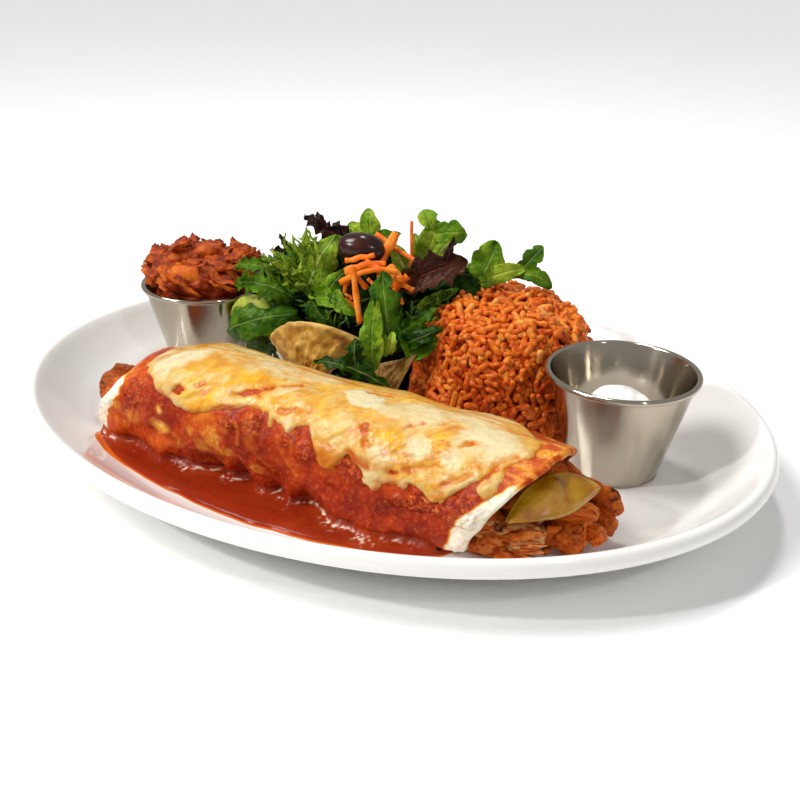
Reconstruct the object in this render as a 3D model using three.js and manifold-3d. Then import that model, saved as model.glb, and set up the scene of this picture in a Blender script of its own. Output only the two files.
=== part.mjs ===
// A plated meal on a white oval coupe platter: one long open-ended burrito under red sauce and
// melted cheese, a sauce pool, chicken and pepper at its ends, a steel cup heaped with beans, a
// mixed salad with olive, carrot and tortilla chips, a mound of red rice and a steel cup of cream.
// Millimetres, +Z up, +X along the platter's long axis, origin on the table under its centre.
import * as THREE from 'three';
import { mergeVertices } from 'three/addons/utils/BufferGeometryUtils.js';
import Module from 'manifold-3d';

const wasm = await Module();
wasm.setup();

// Driving dimensions

const GAP = 0.3;                       // clearance between pieces that touch

const PLATTER = {
  crestA: 159.7,                       // half axes of the rim's crest line
  crestB: 121.9,
  floorZ: 5.0,                         // inner floor above the table
  segments: 42,
  // distance inward from the crest line, and height
  inside: [[30, 5.0], [22.5, 7.7], [15, 12.8], [8, 19.3], [3, 24.8], [0.6, 26.8]],
  outside: [
    [-1.6, 26.4], [-2.8, 23.9], [-2.4, 21.2], [0.2, 19.2], [7, 14.7], [15, 9.1], [24, 4.1], [34, 1.6],
  ],
  foot: [[41, 1.4], [42, 0], [47, 0], [48.6, 1.5]],
};

const BURRITO = {
  leftX: -105,
  rightX: 78,
  midY: -50.5,                         // axis line at x = 0
  slope: -0.068,                       // how the axis drifts toward the front along x
  bottomZ: 5.5,
  waistZ: 24,
  topZ: 47.4,
  halfWidth: 25.6,
  topPower: 2.25,
  bottomPower: 3.2,
  wall: 2.8,
  seamAngle: -0.62,                    // where the outer wrap ends, low on the back
  seamStep: 1.6,
  lipBow: 0.8,                         // how far the cut ends stray from flat
  columns: 24,
  stations: 17,
};

const CUP = {
  rimRadius: 30,
  baseRadius: 18,
  height: 43.2,
  neck: 28.6,                          // outside, under the rolled rim
  insideTop: 27.9,
  lipZ: 42.3,
  insideFoot: 16.4,
  footZ: 2.2,
  floor: 1.4,
  segments: 24,
};
const BEAN_CUP = { x: -107.8, y: 21.6 };
const BEAN_BUMP = 3.6;                 // how far beans stand out of the mash
const CREAM_CUP = { x: 99, y: 15.1 };

const RICE = { x: 41.5, y: 38.5, rx: 38, ry: 40, topZ: 60, power: 3.3, grain: 7.4 };
const SALAD = { x: -32, y: 35, rx: 41, ry: 38, topZ: 60, power: 2.2 };
const OLIVE = { x: -23.8, y: 24, z: 77, length: 22, girth: 14.6 };
const SAUCE = { topZ: 7.2, edgeZ: 0.6 };

const SOFT = 0.85;                     // roughness of dry food

const baseZ = PLATTER.floorZ + GAP;    // what stands on the floor starts here

// Small tools

function makeRandom(seed) {
  let state = seed >>> 0;
  return () => {
    state = (state + 0x6d2b79f5) >>> 0;
    let t = Math.imul(state ^ (state >>> 15), 1 | state);
    t = (t + Math.imul(t ^ (t >>> 7), 61 | t)) ^ t;
    return ((t ^ (t >>> 14)) >>> 0) / 4294967296;
  };
}

// smooth lattice noise between -1 and 1
function makeNoise(seed) {
  const value = (i, j, k) => {
    let h = Math.imul(i, 374761393) + Math.imul(j, 668265263) + Math.imul(k, 2147483647) + seed * 9781;
    h = Math.imul(h ^ (h >>> 13), 1274126177);
    return (((h ^ (h >>> 16)) >>> 0) / 4294967295) * 2 - 1;
  };
  const ease = (t) => t * t * (3 - 2 * t);
  return (x, y, z) => {
    const i = Math.floor(x);
    const j = Math.floor(y);
    const k = Math.floor(z);
    const u = ease(x - i);
    const v = ease(y - j);
    const w = ease(z - k);
    const mix = THREE.MathUtils.lerp;
    const row = (b, c) => mix(value(i, j + b, k + c), value(i + 1, j + b, k + c), u);
    return mix(mix(row(0, 0), row(1, 0), v), mix(row(0, 1), row(1, 1), v), w);
  };
}

const clamp01 = (t) => Math.min(Math.max(t, 0), 1);
const smooth = (a, b, t) => {
  const s = clamp01((t - a) / (b - a));
  return s * s * (3 - 2 * s);
};

// straight-line value at x through [x, value] pairs
function along(pairs, x) {
  if (x <= pairs[0][0]) return pairs[0][1];
  for (let i = 1; i < pairs.length; i += 1) {
    const [x1, v1] = pairs[i];
    const [x0, v0] = pairs[i - 1];
    if (x <= x1) return v0 + ((v1 - v0) * (x - x0)) / (x1 - x0);
  }
  return pairs[pairs.length - 1][1];
}

const superRadius = (c, s, power) => (Math.abs(c) ** power + Math.abs(s) ** power) ** (-1 / power);

// Solids

function signedVolume(points, triangles) {
  let six = 0;
  for (const [a, b, c] of triangles) {
    const [p, q, r] = [points[a], points[b], points[c]];
    six += p[0] * (q[1] * r[2] - q[2] * r[1])
      - p[1] * (q[0] * r[2] - q[2] * r[0])
      + p[2] * (q[0] * r[1] - q[1] * r[0]);
  }
  return six / 6;
}

function meshOf(points, triangles) {
  const outward = signedVolume(points, triangles) > 0;
  const faces = outward ? triangles : triangles.map(([a, b, c]) => [a, c, b]);
  const geometry = new THREE.BufferGeometry();
  geometry.setAttribute('position', new THREE.Float32BufferAttribute(points.flat(), 3));
  geometry.setIndex(faces.flat());
  return geometry;
}

// a body through rings of equal length, capped by fans, or closed on itself as a ring of rings
function loft(rings, closed = false) {
  const count = rings[0].length;
  const points = rings.flat();
  const triangles = [];
  const bands = closed ? rings.length : rings.length - 1;
  for (let i = 0; i < bands; i += 1) {
    const here = i * count;
    const next = ((i + 1) % rings.length) * count;
    for (let j = 0; j < count; j += 1) {
      const k = (j + 1) % count;
      triangles.push([here + j, here + k, next + k], [here + j, next + k, next + j]);
    }
  }
  if (!closed) {
    const cap = (ring, start, flip) => {
      const centre = [0, 1, 2].map((axis) => ring.reduce((sum, p) => sum + p[axis], 0) / count);
      points.push(centre);
      for (let j = 0; j < count; j += 1) {
        const k = (j + 1) % count;
        triangles.push(flip ? [points.length - 1, start + k, start + j]
          : [points.length - 1, start + j, start + k]);
      }
    };
    cap(rings[0], 0, true);
    cap(rings[rings.length - 1], (rings.length - 1) * count, false);
  }
  return meshOf(points, triangles);
}

// a thin body between two faces of the same grid, closed round its rim
function sheet(upper, lower, nu, nv) {
  const points = [];
  const index = (side, i, j) => side * (nu + 1) * (nv + 1) + i * (nv + 1) + j;
  for (const face of [upper, lower]) {
    for (let i = 0; i <= nu; i += 1) {
      for (let j = 0; j <= nv; j += 1) points.push(face(i / nu, j / nv));
    }
  }
  const triangles = [];
  for (let i = 0; i < nu; i += 1) {
    for (let j = 0; j < nv; j += 1) {
      for (const side of [0, 1]) {
        const [a, b] = [index(side, i, j), index(side, i + 1, j)];
        const [c, d] = [index(side, i + 1, j + 1), index(side, i, j + 1)];
        if (side === 0) triangles.push([a, b, c], [a, c, d]);
        else triangles.push([a, c, b], [a, d, c]);
      }
    }
  }
  const rim = [];
  for (let i = 0; i < nu; i += 1) rim.push([i, 0]);
  for (let j = 0; j < nv; j += 1) rim.push([nu, j]);
  for (let i = nu; i > 0; i -= 1) rim.push([i, nv]);
  for (let j = nv; j > 0; j -= 1) rim.push([0, j]);
  rim.forEach(([i, j], n) => {
    const [k, l] = rim[(n + 1) % rim.length];
    triangles.push([index(0, i, j), index(1, i, j), index(1, k, l)]);
    triangles.push([index(0, i, j), index(1, k, l), index(0, k, l)]);
  });
  return meshOf(points, triangles);
}

function toSolid(geometry) {
  const bare = geometry.clone();
  bare.deleteAttribute('normal');
  bare.deleteAttribute('uv');
  const merged = mergeVertices(bare, 1e-4);
  return new wasm.Manifold(new wasm.Mesh({
    numProp: 3,
    vertProperties: Float32Array.from(merged.attributes.position.array),
    triVerts: Uint32Array.from(merged.index.array),
  }));
}

function toGeometry(solid) {
  const mesh = solid.getMesh();
  const geometry = new THREE.BufferGeometry();
  geometry.setAttribute('position', new THREE.Float32BufferAttribute(mesh.vertProperties, 3));
  geometry.setIndex([...mesh.triVerts]);
  return geometry;
}

// the largest of a solid's loose pieces
function largest(solid) {
  return solid.decompose().reduce((a, b) => (b.volume() > a.volume() ? b : a));
}

const fuse = (solids) => solids.reduce((a, b) => a.add(b));
const cut = (solid, cutters) => cutters.reduce((a, b) => a.subtract(b), solid);

const meal = new THREE.Group();

function addNode(name, shape, color, roughness, metalness = 0) {
  const geometry = shape.isBufferGeometry ? shape : toGeometry(shape);
  const material = new THREE.MeshStandardMaterial({ color, roughness, metalness });
  const mesh = new THREE.Mesh(geometry, material);
  mesh.name = name;
  meal.add(mesh);
  return mesh;
}

// Platter: an oval coupe with a rolled rim and a foot ring

// the point a given distance inward from the crest line
function crestPoint(angle, inward) {
  const { crestA, crestB } = PLATTER;
  const [c, s] = [Math.cos(angle), Math.sin(angle)];
  const reach = Math.hypot(crestB * c, crestA * s);
  return [(crestA - (inward * crestB) / reach) * c, (crestB - (inward * crestA) / reach) * s];
}

function platterRing([inward, z]) {
  const ring = [];
  for (let i = 0; i < PLATTER.segments; i += 1) {
    const [x, y] = crestPoint((2 * Math.PI * i) / PLATTER.segments, inward);
    ring.push([x, y, z]);
  }
  return ring;
}

// height of the inner surface at a distance inward from the crest line
function coupeZ(inward) {
  return along([...PLATTER.inside].reverse(), inward);
}

addNode(
  'platter',
  loft([...PLATTER.inside, ...PLATTER.outside, ...PLATTER.foot].map(platterRing)),
  '#f2f0ec',
  0.15,
);

// Burrito: a flour tortilla rolled into a tube that is open and cut aslant at both ends

const slump = makeNoise(3);

// a point of the tube's wall, angle 0 at the back, a quarter turn at the top, half a turn in front
function tubePoint(x, angle, offset, relief = 1) {
  const [c, s] = [Math.cos(angle), Math.sin(angle)];
  const power = s > 0 ? BURRITO.topPower : BURRITO.bottomPower;
  const radius = superRadius(c, s, power);
  const taper = 1 - 0.13 * smooth(-55, -100, x) - 0.03 * smooth(60, 100, x);
  const drop = 9.5 * smooth(-52, -100, x) + 1.5 * smooth(60, 104, x);
  const broad = 1.1 * slump(x / 26, c * 1.3 + 4, s * 1.3);
  const lumps = relief * (broad + 0.5 * slump(x / 11, c * 2.4, s * 2.4 + 9));
  const wide = BURRITO.halfWidth * taper + offset + lumps * clamp01(s + 0.9);
  const tall = s > 0 ? BURRITO.topZ - drop - BURRITO.waistZ : BURRITO.waistZ - BURRITO.bottomZ;
  const high = tall + offset + (s > 0 ? lumps : 0);
  return [x, BURRITO.midY + BURRITO.slope * x + wide * c * radius, BURRITO.waistZ + high * s * radius];
}

// where the tube ends at the left and right, by the height and depth of the wall
function tubeEnds(angle, offset) {
  const [, y, z] = tubePoint(0, angle, offset, 0);
  const high = z - BURRITO.bottomZ;
  const back = y - (BURRITO.midY - BURRITO.halfWidth);
  return [BURRITO.leftX + 0.45 * high, BURRITO.rightX - 8 + 0.62 * high + 0.22 * back];
}

// the step where the outer wrap laps over the inner one
function seamHeight(angle) {
  const turn = ((angle - BURRITO.seamAngle) / (2 * Math.PI) + 1) % 1;
  return BURRITO.seamStep * smooth(0.55, 0.97, turn);
}

function tubeRing(u, offset, { relief = 1, seam = 0, shorten = 0, columns = BURRITO.columns } = {}) {
  const ring = [];
  for (let i = 0; i < columns; i += 1) {
    const angle = BURRITO.seamAngle + (2 * Math.PI * (i + 0.02)) / columns;
    const [left, right] = tubeEnds(angle, offset);
    const x = THREE.MathUtils.lerp(left + shorten, right - shorten, u);
    ring.push(tubePoint(x, angle, offset + seam * (seamHeight(angle) - BURRITO.seamStep), relief));
  }
  return ring;
}

function buildTortilla() {
  const outer = [];
  const inner = [];
  const innerStations = 5;
  for (let i = 0; i <= BURRITO.stations; i += 1) {
    outer.push(tubeRing(i / BURRITO.stations, 0, { seam: 1 }));
  }
  for (let i = innerStations; i >= 0; i -= 1) {
    inner.push(tubeRing(i / innerStations, -BURRITO.wall - BURRITO.seamStep, { relief: 0 }));
  }
  return loft([...outer, ...inner], true);
}
addNode('tortilla', buildTortilla(), '#d9a06a', SOFT);

// the whole burrito grown by a clearance, to cut neighbours with
function burritoShadow(clear) {
  const rings = [];
  for (let i = 0; i <= BURRITO.stations; i += 1) {
    rings.push(tubeRing(i / BURRITO.stations, clear, { shorten: -clear - BURRITO.lipBow }));
  }
  return toSolid(loft(rings));
}
const burritoClear = burritoShadow(GAP + 0.15);

// Filling: pulled chicken in sauce that runs through the tube, rough at both ends

function buildFilling() {
  const rough = makeNoise(8);
  const fillGap = BURRITO.wall + BURRITO.seamStep + GAP + 0.3;
  const columns = 12;
  const stations = 4;
  const rings = [];
  const pull = (ring, scale, push) => {
    const middle = [0, 1, 2].map((axis) => ring.reduce((sum, p) => sum + p[axis], 0) / ring.length);
    return ring.map(([x, y, z]) => [
      x + push + 2.2 * rough(y / 7, z / 7, push),
      middle[1] + (y - middle[1]) * scale,
      middle[2] + (z - middle[2]) * scale,
    ]);
  };
  const options = { relief: 0, shorten: 5, columns };
  for (let i = 0; i <= stations; i += 1) rings.push(tubeRing(i / stations, -fillGap, options));
  const [first, last] = [rings[0], rings[stations]];
  return loft([pull(first, 0.55, -3), ...rings, pull(last, 0.72, 2.5), pull(last, 0.36, 4)]);
}

// Cheese: a melted skin over the top, with drips along its front edge

const CHEESE = {
  front: [[-75, 118], [-72, 136], [-66, 149], [-55, 157], [-46, 160], [-36, 151], [-28, 144],
    [-17, 146], [-3, 149], [9, 150], [13, 165], [18, 173], [24, 167], [37, 171], [46, 165], [56, 168],
    [64, 162], [73, 158], [80, 146], [85, 132], [90, 112]],
  back: [[-75, 84], [-66, 56], [-48, 44], [-30, 52], [-12, 38], [6, 47], [24, 36], [44, 46], [62, 38],
    [78, 52], [90, 82]],
  left: -75,
  right: 90,
  lift: 0.5,
  thick: 2.5,
  along: 28,
  across: 8,
};

function buildCheese() {
  const blobs = makeNoise(21);
  const place = (u, v, upper) => {
    const x = THREE.MathUtils.lerp(CHEESE.left, CHEESE.right, u);
    const from = THREE.MathUtils.degToRad(along(CHEESE.front, x));
    const to = THREE.MathUtils.degToRad(along(CHEESE.back, x));
    const angle = THREE.MathUtils.lerp(from, to, v);
    const edge = Math.min(smooth(0, 0.12, v), smooth(1, 0.84, v), smooth(0, 0.05, u), smooth(1, 0.95, u));
    const soft = 1 + 0.42 * blobs(x / 13, angle * 3, 2) + 0.28 * blobs(x / 6, angle * 6, 7);
    const drip = 0.9 * smooth(0.3, 0.02, v) * (1 + blobs(x / 9, 1, 4));
    const depth = upper ? 0.8 + CHEESE.thick * edge * soft + drip : 0;
    return tubePoint(x, angle, CHEESE.lift + depth);
  };
  const faces = [(u, v) => place(u, v, true), (u, v) => place(u, v, false)];
  return sheet(...faces, CHEESE.along, CHEESE.across);
}
addNode('cheese', buildCheese(), '#f3d27e', 0.35);

// Sauce pool: level on the floor in front of the burrito

const POOL_EDGE = [
  [-103, -60], [-100, -69], [-92, -75], [-80, -79.5], [-62, -83.8], [-38, -88.2], [-14, -91.4],
  [12, -90.6], [34, -87.6], [50, -84], [63, -79.8], [72, -74.5], [77, -66],
];

function buildSauce() {
  const nu = 27;
  const nv = 3;
  const edge = new THREE.SplineCurve(POOL_EDGE.map(([x, y]) => new THREE.Vector2(x, y)));
  const inwardOf = (x, y) => {
    const { crestA, crestB } = PLATTER;
    const angle = Math.atan2(y / crestB, x / crestA);
    const scale = Math.hypot(x / crestA, y / crestB);
    const reach = Math.hypot(crestB * Math.cos(angle), crestA * Math.sin(angle));
    return (1 - scale) * (crestA * crestB) / reach;
  };
  const plan = (u, v) => {
    const p = edge.getPoint(u);
    const inner = BURRITO.midY + BURRITO.slope * p.x - 8;
    const shore = smooth(0, 0.06, u) * smooth(1, 0.94, u);
    return [p.x, THREE.MathUtils.lerp(p.y, Math.max(inner, p.y + 1.5), v ** 1.6 * (0.1 + 0.9 * shore))];
  };
  const lower = (u, v) => {
    const [x, y] = plan(u, v);
    return [x, y, Math.max(coupeZ(inwardOf(x, y)), PLATTER.floorZ) + GAP];
  };
  const upper = (u, v) => {
    const [x, y, z] = lower(u, v);
    const rim = Math.min(smooth(0, 0.3, v), smooth(0, 0.03, u), smooth(1, 0.97, u));
    return [x, y, Math.max(z + SAUCE.edgeZ, THREE.MathUtils.lerp(z + SAUCE.edgeZ, SAUCE.topZ, rim))];
  };
  return toSolid(sheet(upper, lower, nu, nv));
}

// Steel cups with a rolled rim

function cupProfile(grow = 0) {
  const { rimRadius, baseRadius, height, neck, insideTop, insideFoot, footZ, lipZ } = CUP;
  return [
    [0, -grow], [baseRadius - 1.2 + grow, -grow], [baseRadius + grow, 1.1], [neck + grow, height - 2.4],
    [rimRadius + grow, height - 1.7], [rimRadius + grow, height - 0.5 + grow],
    [rimRadius - 0.8, height + grow], [insideTop - grow, lipZ],
    [insideFoot - grow, footZ + grow], [0, CUP.floor + grow],
  ];
}

// radius of what fills the cup at a height
function fillRadius(z) {
  const { insideTop, insideFoot, footZ, lipZ } = CUP;
  return insideFoot + ((insideTop - insideFoot) * (z - footZ)) / (lipZ - footZ) - GAP - 0.1;
}

function lathe(profile, segments, { x, y }, z) {
  const points = profile.map(([r, h]) => new THREE.Vector2(r, h));
  const geometry = new THREE.LatheGeometry(points, segments);
  geometry.rotateX(Math.PI / 2);
  geometry.translate(x, y, z);
  return geometry;
}

const cupSolid = (place) => toSolid(lathe(cupProfile(), CUP.segments, place, baseZ));
const cupClear = (place) => toSolid(lathe(cupProfile(GAP + 0.1), CUP.segments, place, baseZ));

// a full body of the cup's outside, grown by a clearance
function cupBlock(place, clear) {
  const { rimRadius, baseRadius, height } = CUP;
  const profile = [
    [0, -clear], [baseRadius + clear, -clear], [rimRadius + clear, height - 2.4],
    [rimRadius + clear, height + clear], [0, height + clear],
  ];
  return toSolid(lathe(profile, CUP.segments, place, baseZ));
}

for (const [name, place] of [['cup_beans', BEAN_CUP], ['cup_cream', CREAM_CUP]]) {
  addNode(name, cupSolid(place), '#b9b4ac', 0.28, 1);
}

// Cream: a spooned dollop that fills the cup's foot and rises to a small peak

const fillFoot = [[0, CUP.floor + 0.4], [14.6, CUP.footZ + 0.4], [fillRadius(4.2), 4.2]];
const CREAM = [
  ...fillFoot, [fillRadius(16.4), 16.4], [19.4, 19], [18, 23.4], [14.6, 29.2], [8.6, 34],
  [3, 35.6], [1.2, 36.9], [0, 37],
];
addNode('cream', toSolid(lathe(CREAM, CUP.segments, CREAM_CUP, baseZ)), '#fbf9f4', 0.4);

// Heaps

// a dome on the platter's floor with a rough surface
function heap({ x, y, rx, ry, topZ, power }, { rows, columns, rough, lean = () => [0, 0], inset = 0 }) {
  const rings = [];
  const tall = topZ - baseZ - inset;
  for (let i = 0; i < rows; i += 1) {
    const t = (i / rows) ** 0.92 * (Math.PI / 2);
    const wide = superRadius(Math.cos(t), Math.sin(t), power) * Math.cos(t);
    const high = superRadius(Math.cos(t), Math.sin(t), power) * Math.sin(t);
    const ring = [];
    for (let j = 0; j < columns; j += 1) {
      const a = (2 * Math.PI * (j + 0.5 * (i % 2))) / columns;
      const [c, s] = [Math.cos(a), Math.sin(a)];
      const push = rough(c * wide, s * wide, high, i === 0);
      const [dx, dy] = lean(high);
      ring.push([
        x + dx + c * ((rx - inset) * wide + push),
        y + dy + s * ((ry - inset) * wide + push),
        i === 0 ? baseZ : Math.max(baseZ + 0.4, baseZ + tall * high + push * 0.8),
      ]);
    }
    rings.push(ring);
  }
  return toSolid(loft(rings));
}

// Rice: a steep mound with bumps of a grain's size and some whole grains fused on

const riceRough = (size) => {
  const coarse = makeNoise(31);
  const fine = makeNoise(32);
  return (c, s, h, foot) => size * (2.2 * coarse(c * 3.1 + 5, s * 3.1, h * 3)
    + (foot ? 0 : 1.15 * fine(c * 13, s * 13 + 3, h * 14)));
};

const riceLean = (high) => [1.5 * high, 4 * high];

function riceGrain(random) {
  const half = RICE.grain / 2;
  const slim = 1.15;
  const shoulder = [slim * 0.75, half * 0.62];
  const profile = [[0, -half], [shoulder[0], -shoulder[1]], [slim, 0], shoulder, [0, half]];
  const sides = 5;
  const grain = new THREE.LatheGeometry(profile.map(([r, h]) => new THREE.Vector2(r, h)), sides);
  grain.scale(1, 0.8 + 0.4 * random(), 0.85);
  return grain;
}

function buildRice() {
  const random = makeRandom(5);
  const body = heap(RICE, { rows: 12, columns: 32, rough: riceRough(1), lean: riceLean });
  const grains = [];
  const count = 18;
  for (let i = 0; i < count; i += 1) {
    const t = 0.25 + 1.25 * ((i + 0.5) / count);
    const a = i * 2.399963 + 0.4 * random();
    const power = superRadius(Math.cos(t), Math.sin(t), RICE.power);
    const [wide, high] = [power * Math.cos(t), power * Math.sin(t)];
    const [dx, dy] = riceLean(high);
    const grain = riceGrain(random);
    grain.rotateX(random() * Math.PI);
    grain.rotateZ(random() * Math.PI);
    grain.translate(
      RICE.x + dx + RICE.rx * wide * Math.cos(a),
      RICE.y + dy + RICE.ry * wide * Math.sin(a),
      baseZ + (RICE.topZ - baseZ) * high + 0.6,
    );
    grains.push(toSolid(grain));
  }
  return largest(cut(fuse([body, ...grains]), [cupBlock(CREAM_CUP, GAP)]));
}
const rice = buildRice();
addNode('rice', rice, '#cf5420', SOFT);

// the mound grown by a clearance, to cut the salad with
const riceBlock = heap(RICE, { rows: 7, columns: 20, rough: riceRough(0.5), lean: riceLean, inset: -3.2 });

// Beans: a mash that fills the cup and heaps over its rim, with whole beans fused on

const BEAN_MASH = [
  ...fillFoot, [fillRadius(41.8), 41.8], [27, 44.4], [27.8, 46], [26.4, 49.4], [23, 53],
  [16.5, 55.2], [0, 56.2],
];
// across, depth and height from the cup's axis and rim, length, turn about Z, tilt
const WHOLE_BEANS = [
  [-3, -22, 6, 14.5, 20, 10], [1, -8, 12.6, 12, 60, 30], [-18, -12, 9, 13, 110, 20],
  [14, -16, 7.4, 13, -20, -15], [19, 2, 7.2, 12.5, 80, 20], [-23, 2, 5, 13, 95, -25],
  [-12, 12, 10.6, 13, 30, 15], [9, 14, 9.8, 12.5, 150, 20], [-18, 17, 4.6, 12.5, 50, 10],
];

function buildBeans() {
  const rough = makeNoise(44);
  const mash = lathe(BEAN_MASH, CUP.segments, BEAN_CUP, baseZ);
  const place = mash.attributes.position;
  for (let i = 0; i < place.count; i += 1) {
    const [x, y, z] = [place.getX(i), place.getY(i), place.getZ(i)];
    const loose = smooth(CUP.height + 4.5, CUP.height + 9, z - baseZ + 2);
    const push = 2.6 * loose * rough(x / 6, y / 6, z / 6);
    const far = Math.max(Math.hypot(x - BEAN_CUP.x, y - BEAN_CUP.y), 1);
    place.setXYZ(
      i,
      x + (push * (x - BEAN_CUP.x)) / far,
      y + (push * (y - BEAN_CUP.y)) / far,
      z + push * smooth(14, 26, far) * 0.6 + 1.5 * loose * rough(x / 9 + 4, y / 9, 1),
    );
  }
  const beans = WHOLE_BEANS.map(([dx, dy, dz, long, turn, tilt]) => {
    const bean = new THREE.SphereGeometry(1, 7, 5);
    bean.rotateZ(Math.PI / 2);
    bean.scale(long / 2, 4.6, 4.1);
    bean.rotateY(THREE.MathUtils.degToRad(tilt));
    bean.rotateZ(THREE.MathUtils.degToRad(turn));
    bean.translate(BEAN_CUP.x + dx, BEAN_CUP.y + dy, baseZ + CUP.height + dz);
    return toSolid(bean);
  });
  return largest(fuse([toSolid(mash), ...beans]).subtract(cupClear(BEAN_CUP)));
}
const beans = buildBeans();

// the heaped beans with room for their bumps
function beanBlock(clear) {
  const under = CUP.height - 4;
  const over = BEAN_MASH.slice(3).map(([r, h]) => [r === 0 ? 0 : r + clear, h + clear]);
  return toSolid(lathe([[0, under], [over[0][0], under], ...over], 12, BEAN_CUP, baseZ));
}
addNode('beans', beans, '#9a4420', 0.6);

// Chicken: torn chunks at both ends of the burrito

const chunkNoise = makeNoise(60);

function chunk({ at, size, turn, tilt = 0, rough = 0.16, fibre = 0.5, seed = 0 }) {
  const lump = new THREE.SphereGeometry(1, 12, 8);
  lump.rotateZ(Math.PI / 2);
  const place = lump.attributes.position;
  for (let i = 0; i < place.count; i += 1) {
    const [x, y, z] = [place.getX(i), place.getY(i), place.getZ(i)];
    const square = superRadius(x, Math.hypot(y, z), 2.6);
    const push = square * (1 + rough * 2 * chunkNoise(x * 1.3 + seed, y * 1.6, z * 1.6)
      + rough * fibre * chunkNoise(x * 0.8, y * 5 + seed, z * 5));
    place.setXYZ(i, x * push, y * push, z * push);
  }
  lump.scale(size[0] / 2, size[1] / 2, size[2] / 2);
  lump.rotateY(THREE.MathUtils.degToRad(tilt));
  lump.rotateZ(THREE.MathUtils.degToRad(turn));
  lump.translate(...at);
  return toSolid(lump);
}

// Pepper strip: a curved slice of cooked green pepper lying across the opening

function pepperSlice(grow = 0) {
  const path = new THREE.QuadraticBezierCurve3(
    new THREE.Vector3(83, -72.5, 21),
    new THREE.Vector3(96, -63, 34),
    new THREE.Vector3(110, -42.5, 26),
  );
  const face = new THREE.Vector3(0.45, -0.62, 0.62).normalize();
  const place = (u, v, side) => {
    const p = path.getPoint(u);
    const dir = path.getTangent(u);
    const across = new THREE.Vector3().crossVectors(dir, face).normalize();
    const width = (7.4 * Math.sin(Math.PI * (0.1 + 0.84 * u)) ** 0.62 + 1 + grow) * (2 * v - 1);
    const arch = 2.6 * (1 - (2 * v - 1) ** 2);
    p.addScaledVector(across, width);
    p.addScaledVector(face, arch + side * (1.5 + grow));
    p.addScaledVector(dir, grow * (2 * u - 1));
    return [p.x, p.y, p.z];
  };
  return toSolid(sheet((u, v) => place(u, v, 1), (u, v) => place(u, v, -1), 8, 4));
}
const pepper = largest(pepperSlice().subtract(burritoClear));
addNode('pepper_strip', pepper, '#8f7a1c', 0.25);

const CHICKEN = [
  ['chicken_front', { at: [85, -63, 14.6], size: [31, 17, 15.5], turn: 17, tilt: 4, rough: 0.2, seed: 1 }],
  ['chicken_middle', { at: [105, -50.5, 14.8], size: [22, 17, 16], turn: 36, tilt: -4, seed: 4 }],
  ['chicken_right', { at: [101, -35, 22], size: [28, 14, 18], turn: 17, tilt: 32, seed: 7 }],
  ['chicken_left', { at: [-101.5, -43, 19.8], size: [26, 24, 21], turn: 20, tilt: 20, seed: 9 }],
];
const floorBlock = toSolid(new THREE.BoxGeometry(260, 170, 12).translate(0, 0, baseZ - 6));
const chickenCutters = [burritoClear, floorBlock, cupBlock(CREAM_CUP, GAP)];
const endCutters = [pepperSlice(GAP + 0.1)];
for (const [name, shape] of CHICKEN) {
  const piece = largest(cut(chunk(shape), [...chickenCutters, ...endCutters]));
  addNode(name, piece, '#8e3517', SOFT);
  const grown = { ...shape, size: shape.size.map((side) => side + 2.4 * GAP) };
  endCutters.push(chunk(grown));
}
addNode('sauce_pool', largest(cut(buildSauce(), [burritoClear, ...endCutters])), '#a3301a', 0.2);
addNode('filling', largest(cut(toSolid(buildFilling()), endCutters)), '#8f3a1c', SOFT);

// Salad

const toView = [0.41, -0.8, 0.43];     // the broad side looks front right
const LEAF_HALF = 0.6;                 // half a leaf's thickness

// a thin wavy leaf from its stem to its tip; face is the way its broad side looks
function leaf(shape) {
  const { from, to, width, face = toView, bow = 3, ruffle = 3, waves = 3, cup = 0, seed = 0 } = shape;
  const start = new THREE.Vector3(...from);
  const end = new THREE.Vector3(...to);
  const via = shape.via ? new THREE.Vector3(...shape.via) : start.clone().lerp(end, 0.5);
  const path = new THREE.QuadraticBezierCurve3(start, via, end);
  const dir = new THREE.Vector3().subVectors(end, start).normalize();
  const out = new THREE.Vector3(...face);
  out.addScaledVector(dir, -out.dot(dir)).normalize();
  const across = new THREE.Vector3().crossVectors(dir, out);
  const place = (u, v, side) => {
    const p = path.getPoint(u);
    const w = 2 * v - 1;
    const body = Math.sin(Math.PI * (0.06 + 0.84 * u ** 0.8)) ** 0.7;
    const edge = 1 + 0.2 * Math.sin(waves * 5.2 * u + seed + (w > 0 ? 1.4 : 0));
    p.addScaledVector(across, (width / 2) * (0.12 + body * edge) * w);
    const frill = ruffle * w * w * Math.sin(waves * Math.PI * u + seed + (w > 0 ? 0.9 : 2.6));
    p.addScaledVector(out, bow * 4 * u * (1 - u) + cup * w * w + frill + side * LEAF_HALF);
    return [p.x, p.y, p.z];
  };
  return toSolid(sheet((u, v) => place(u, v, 1), (u, v) => place(u, v, -1), 5, 2));
}

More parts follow.
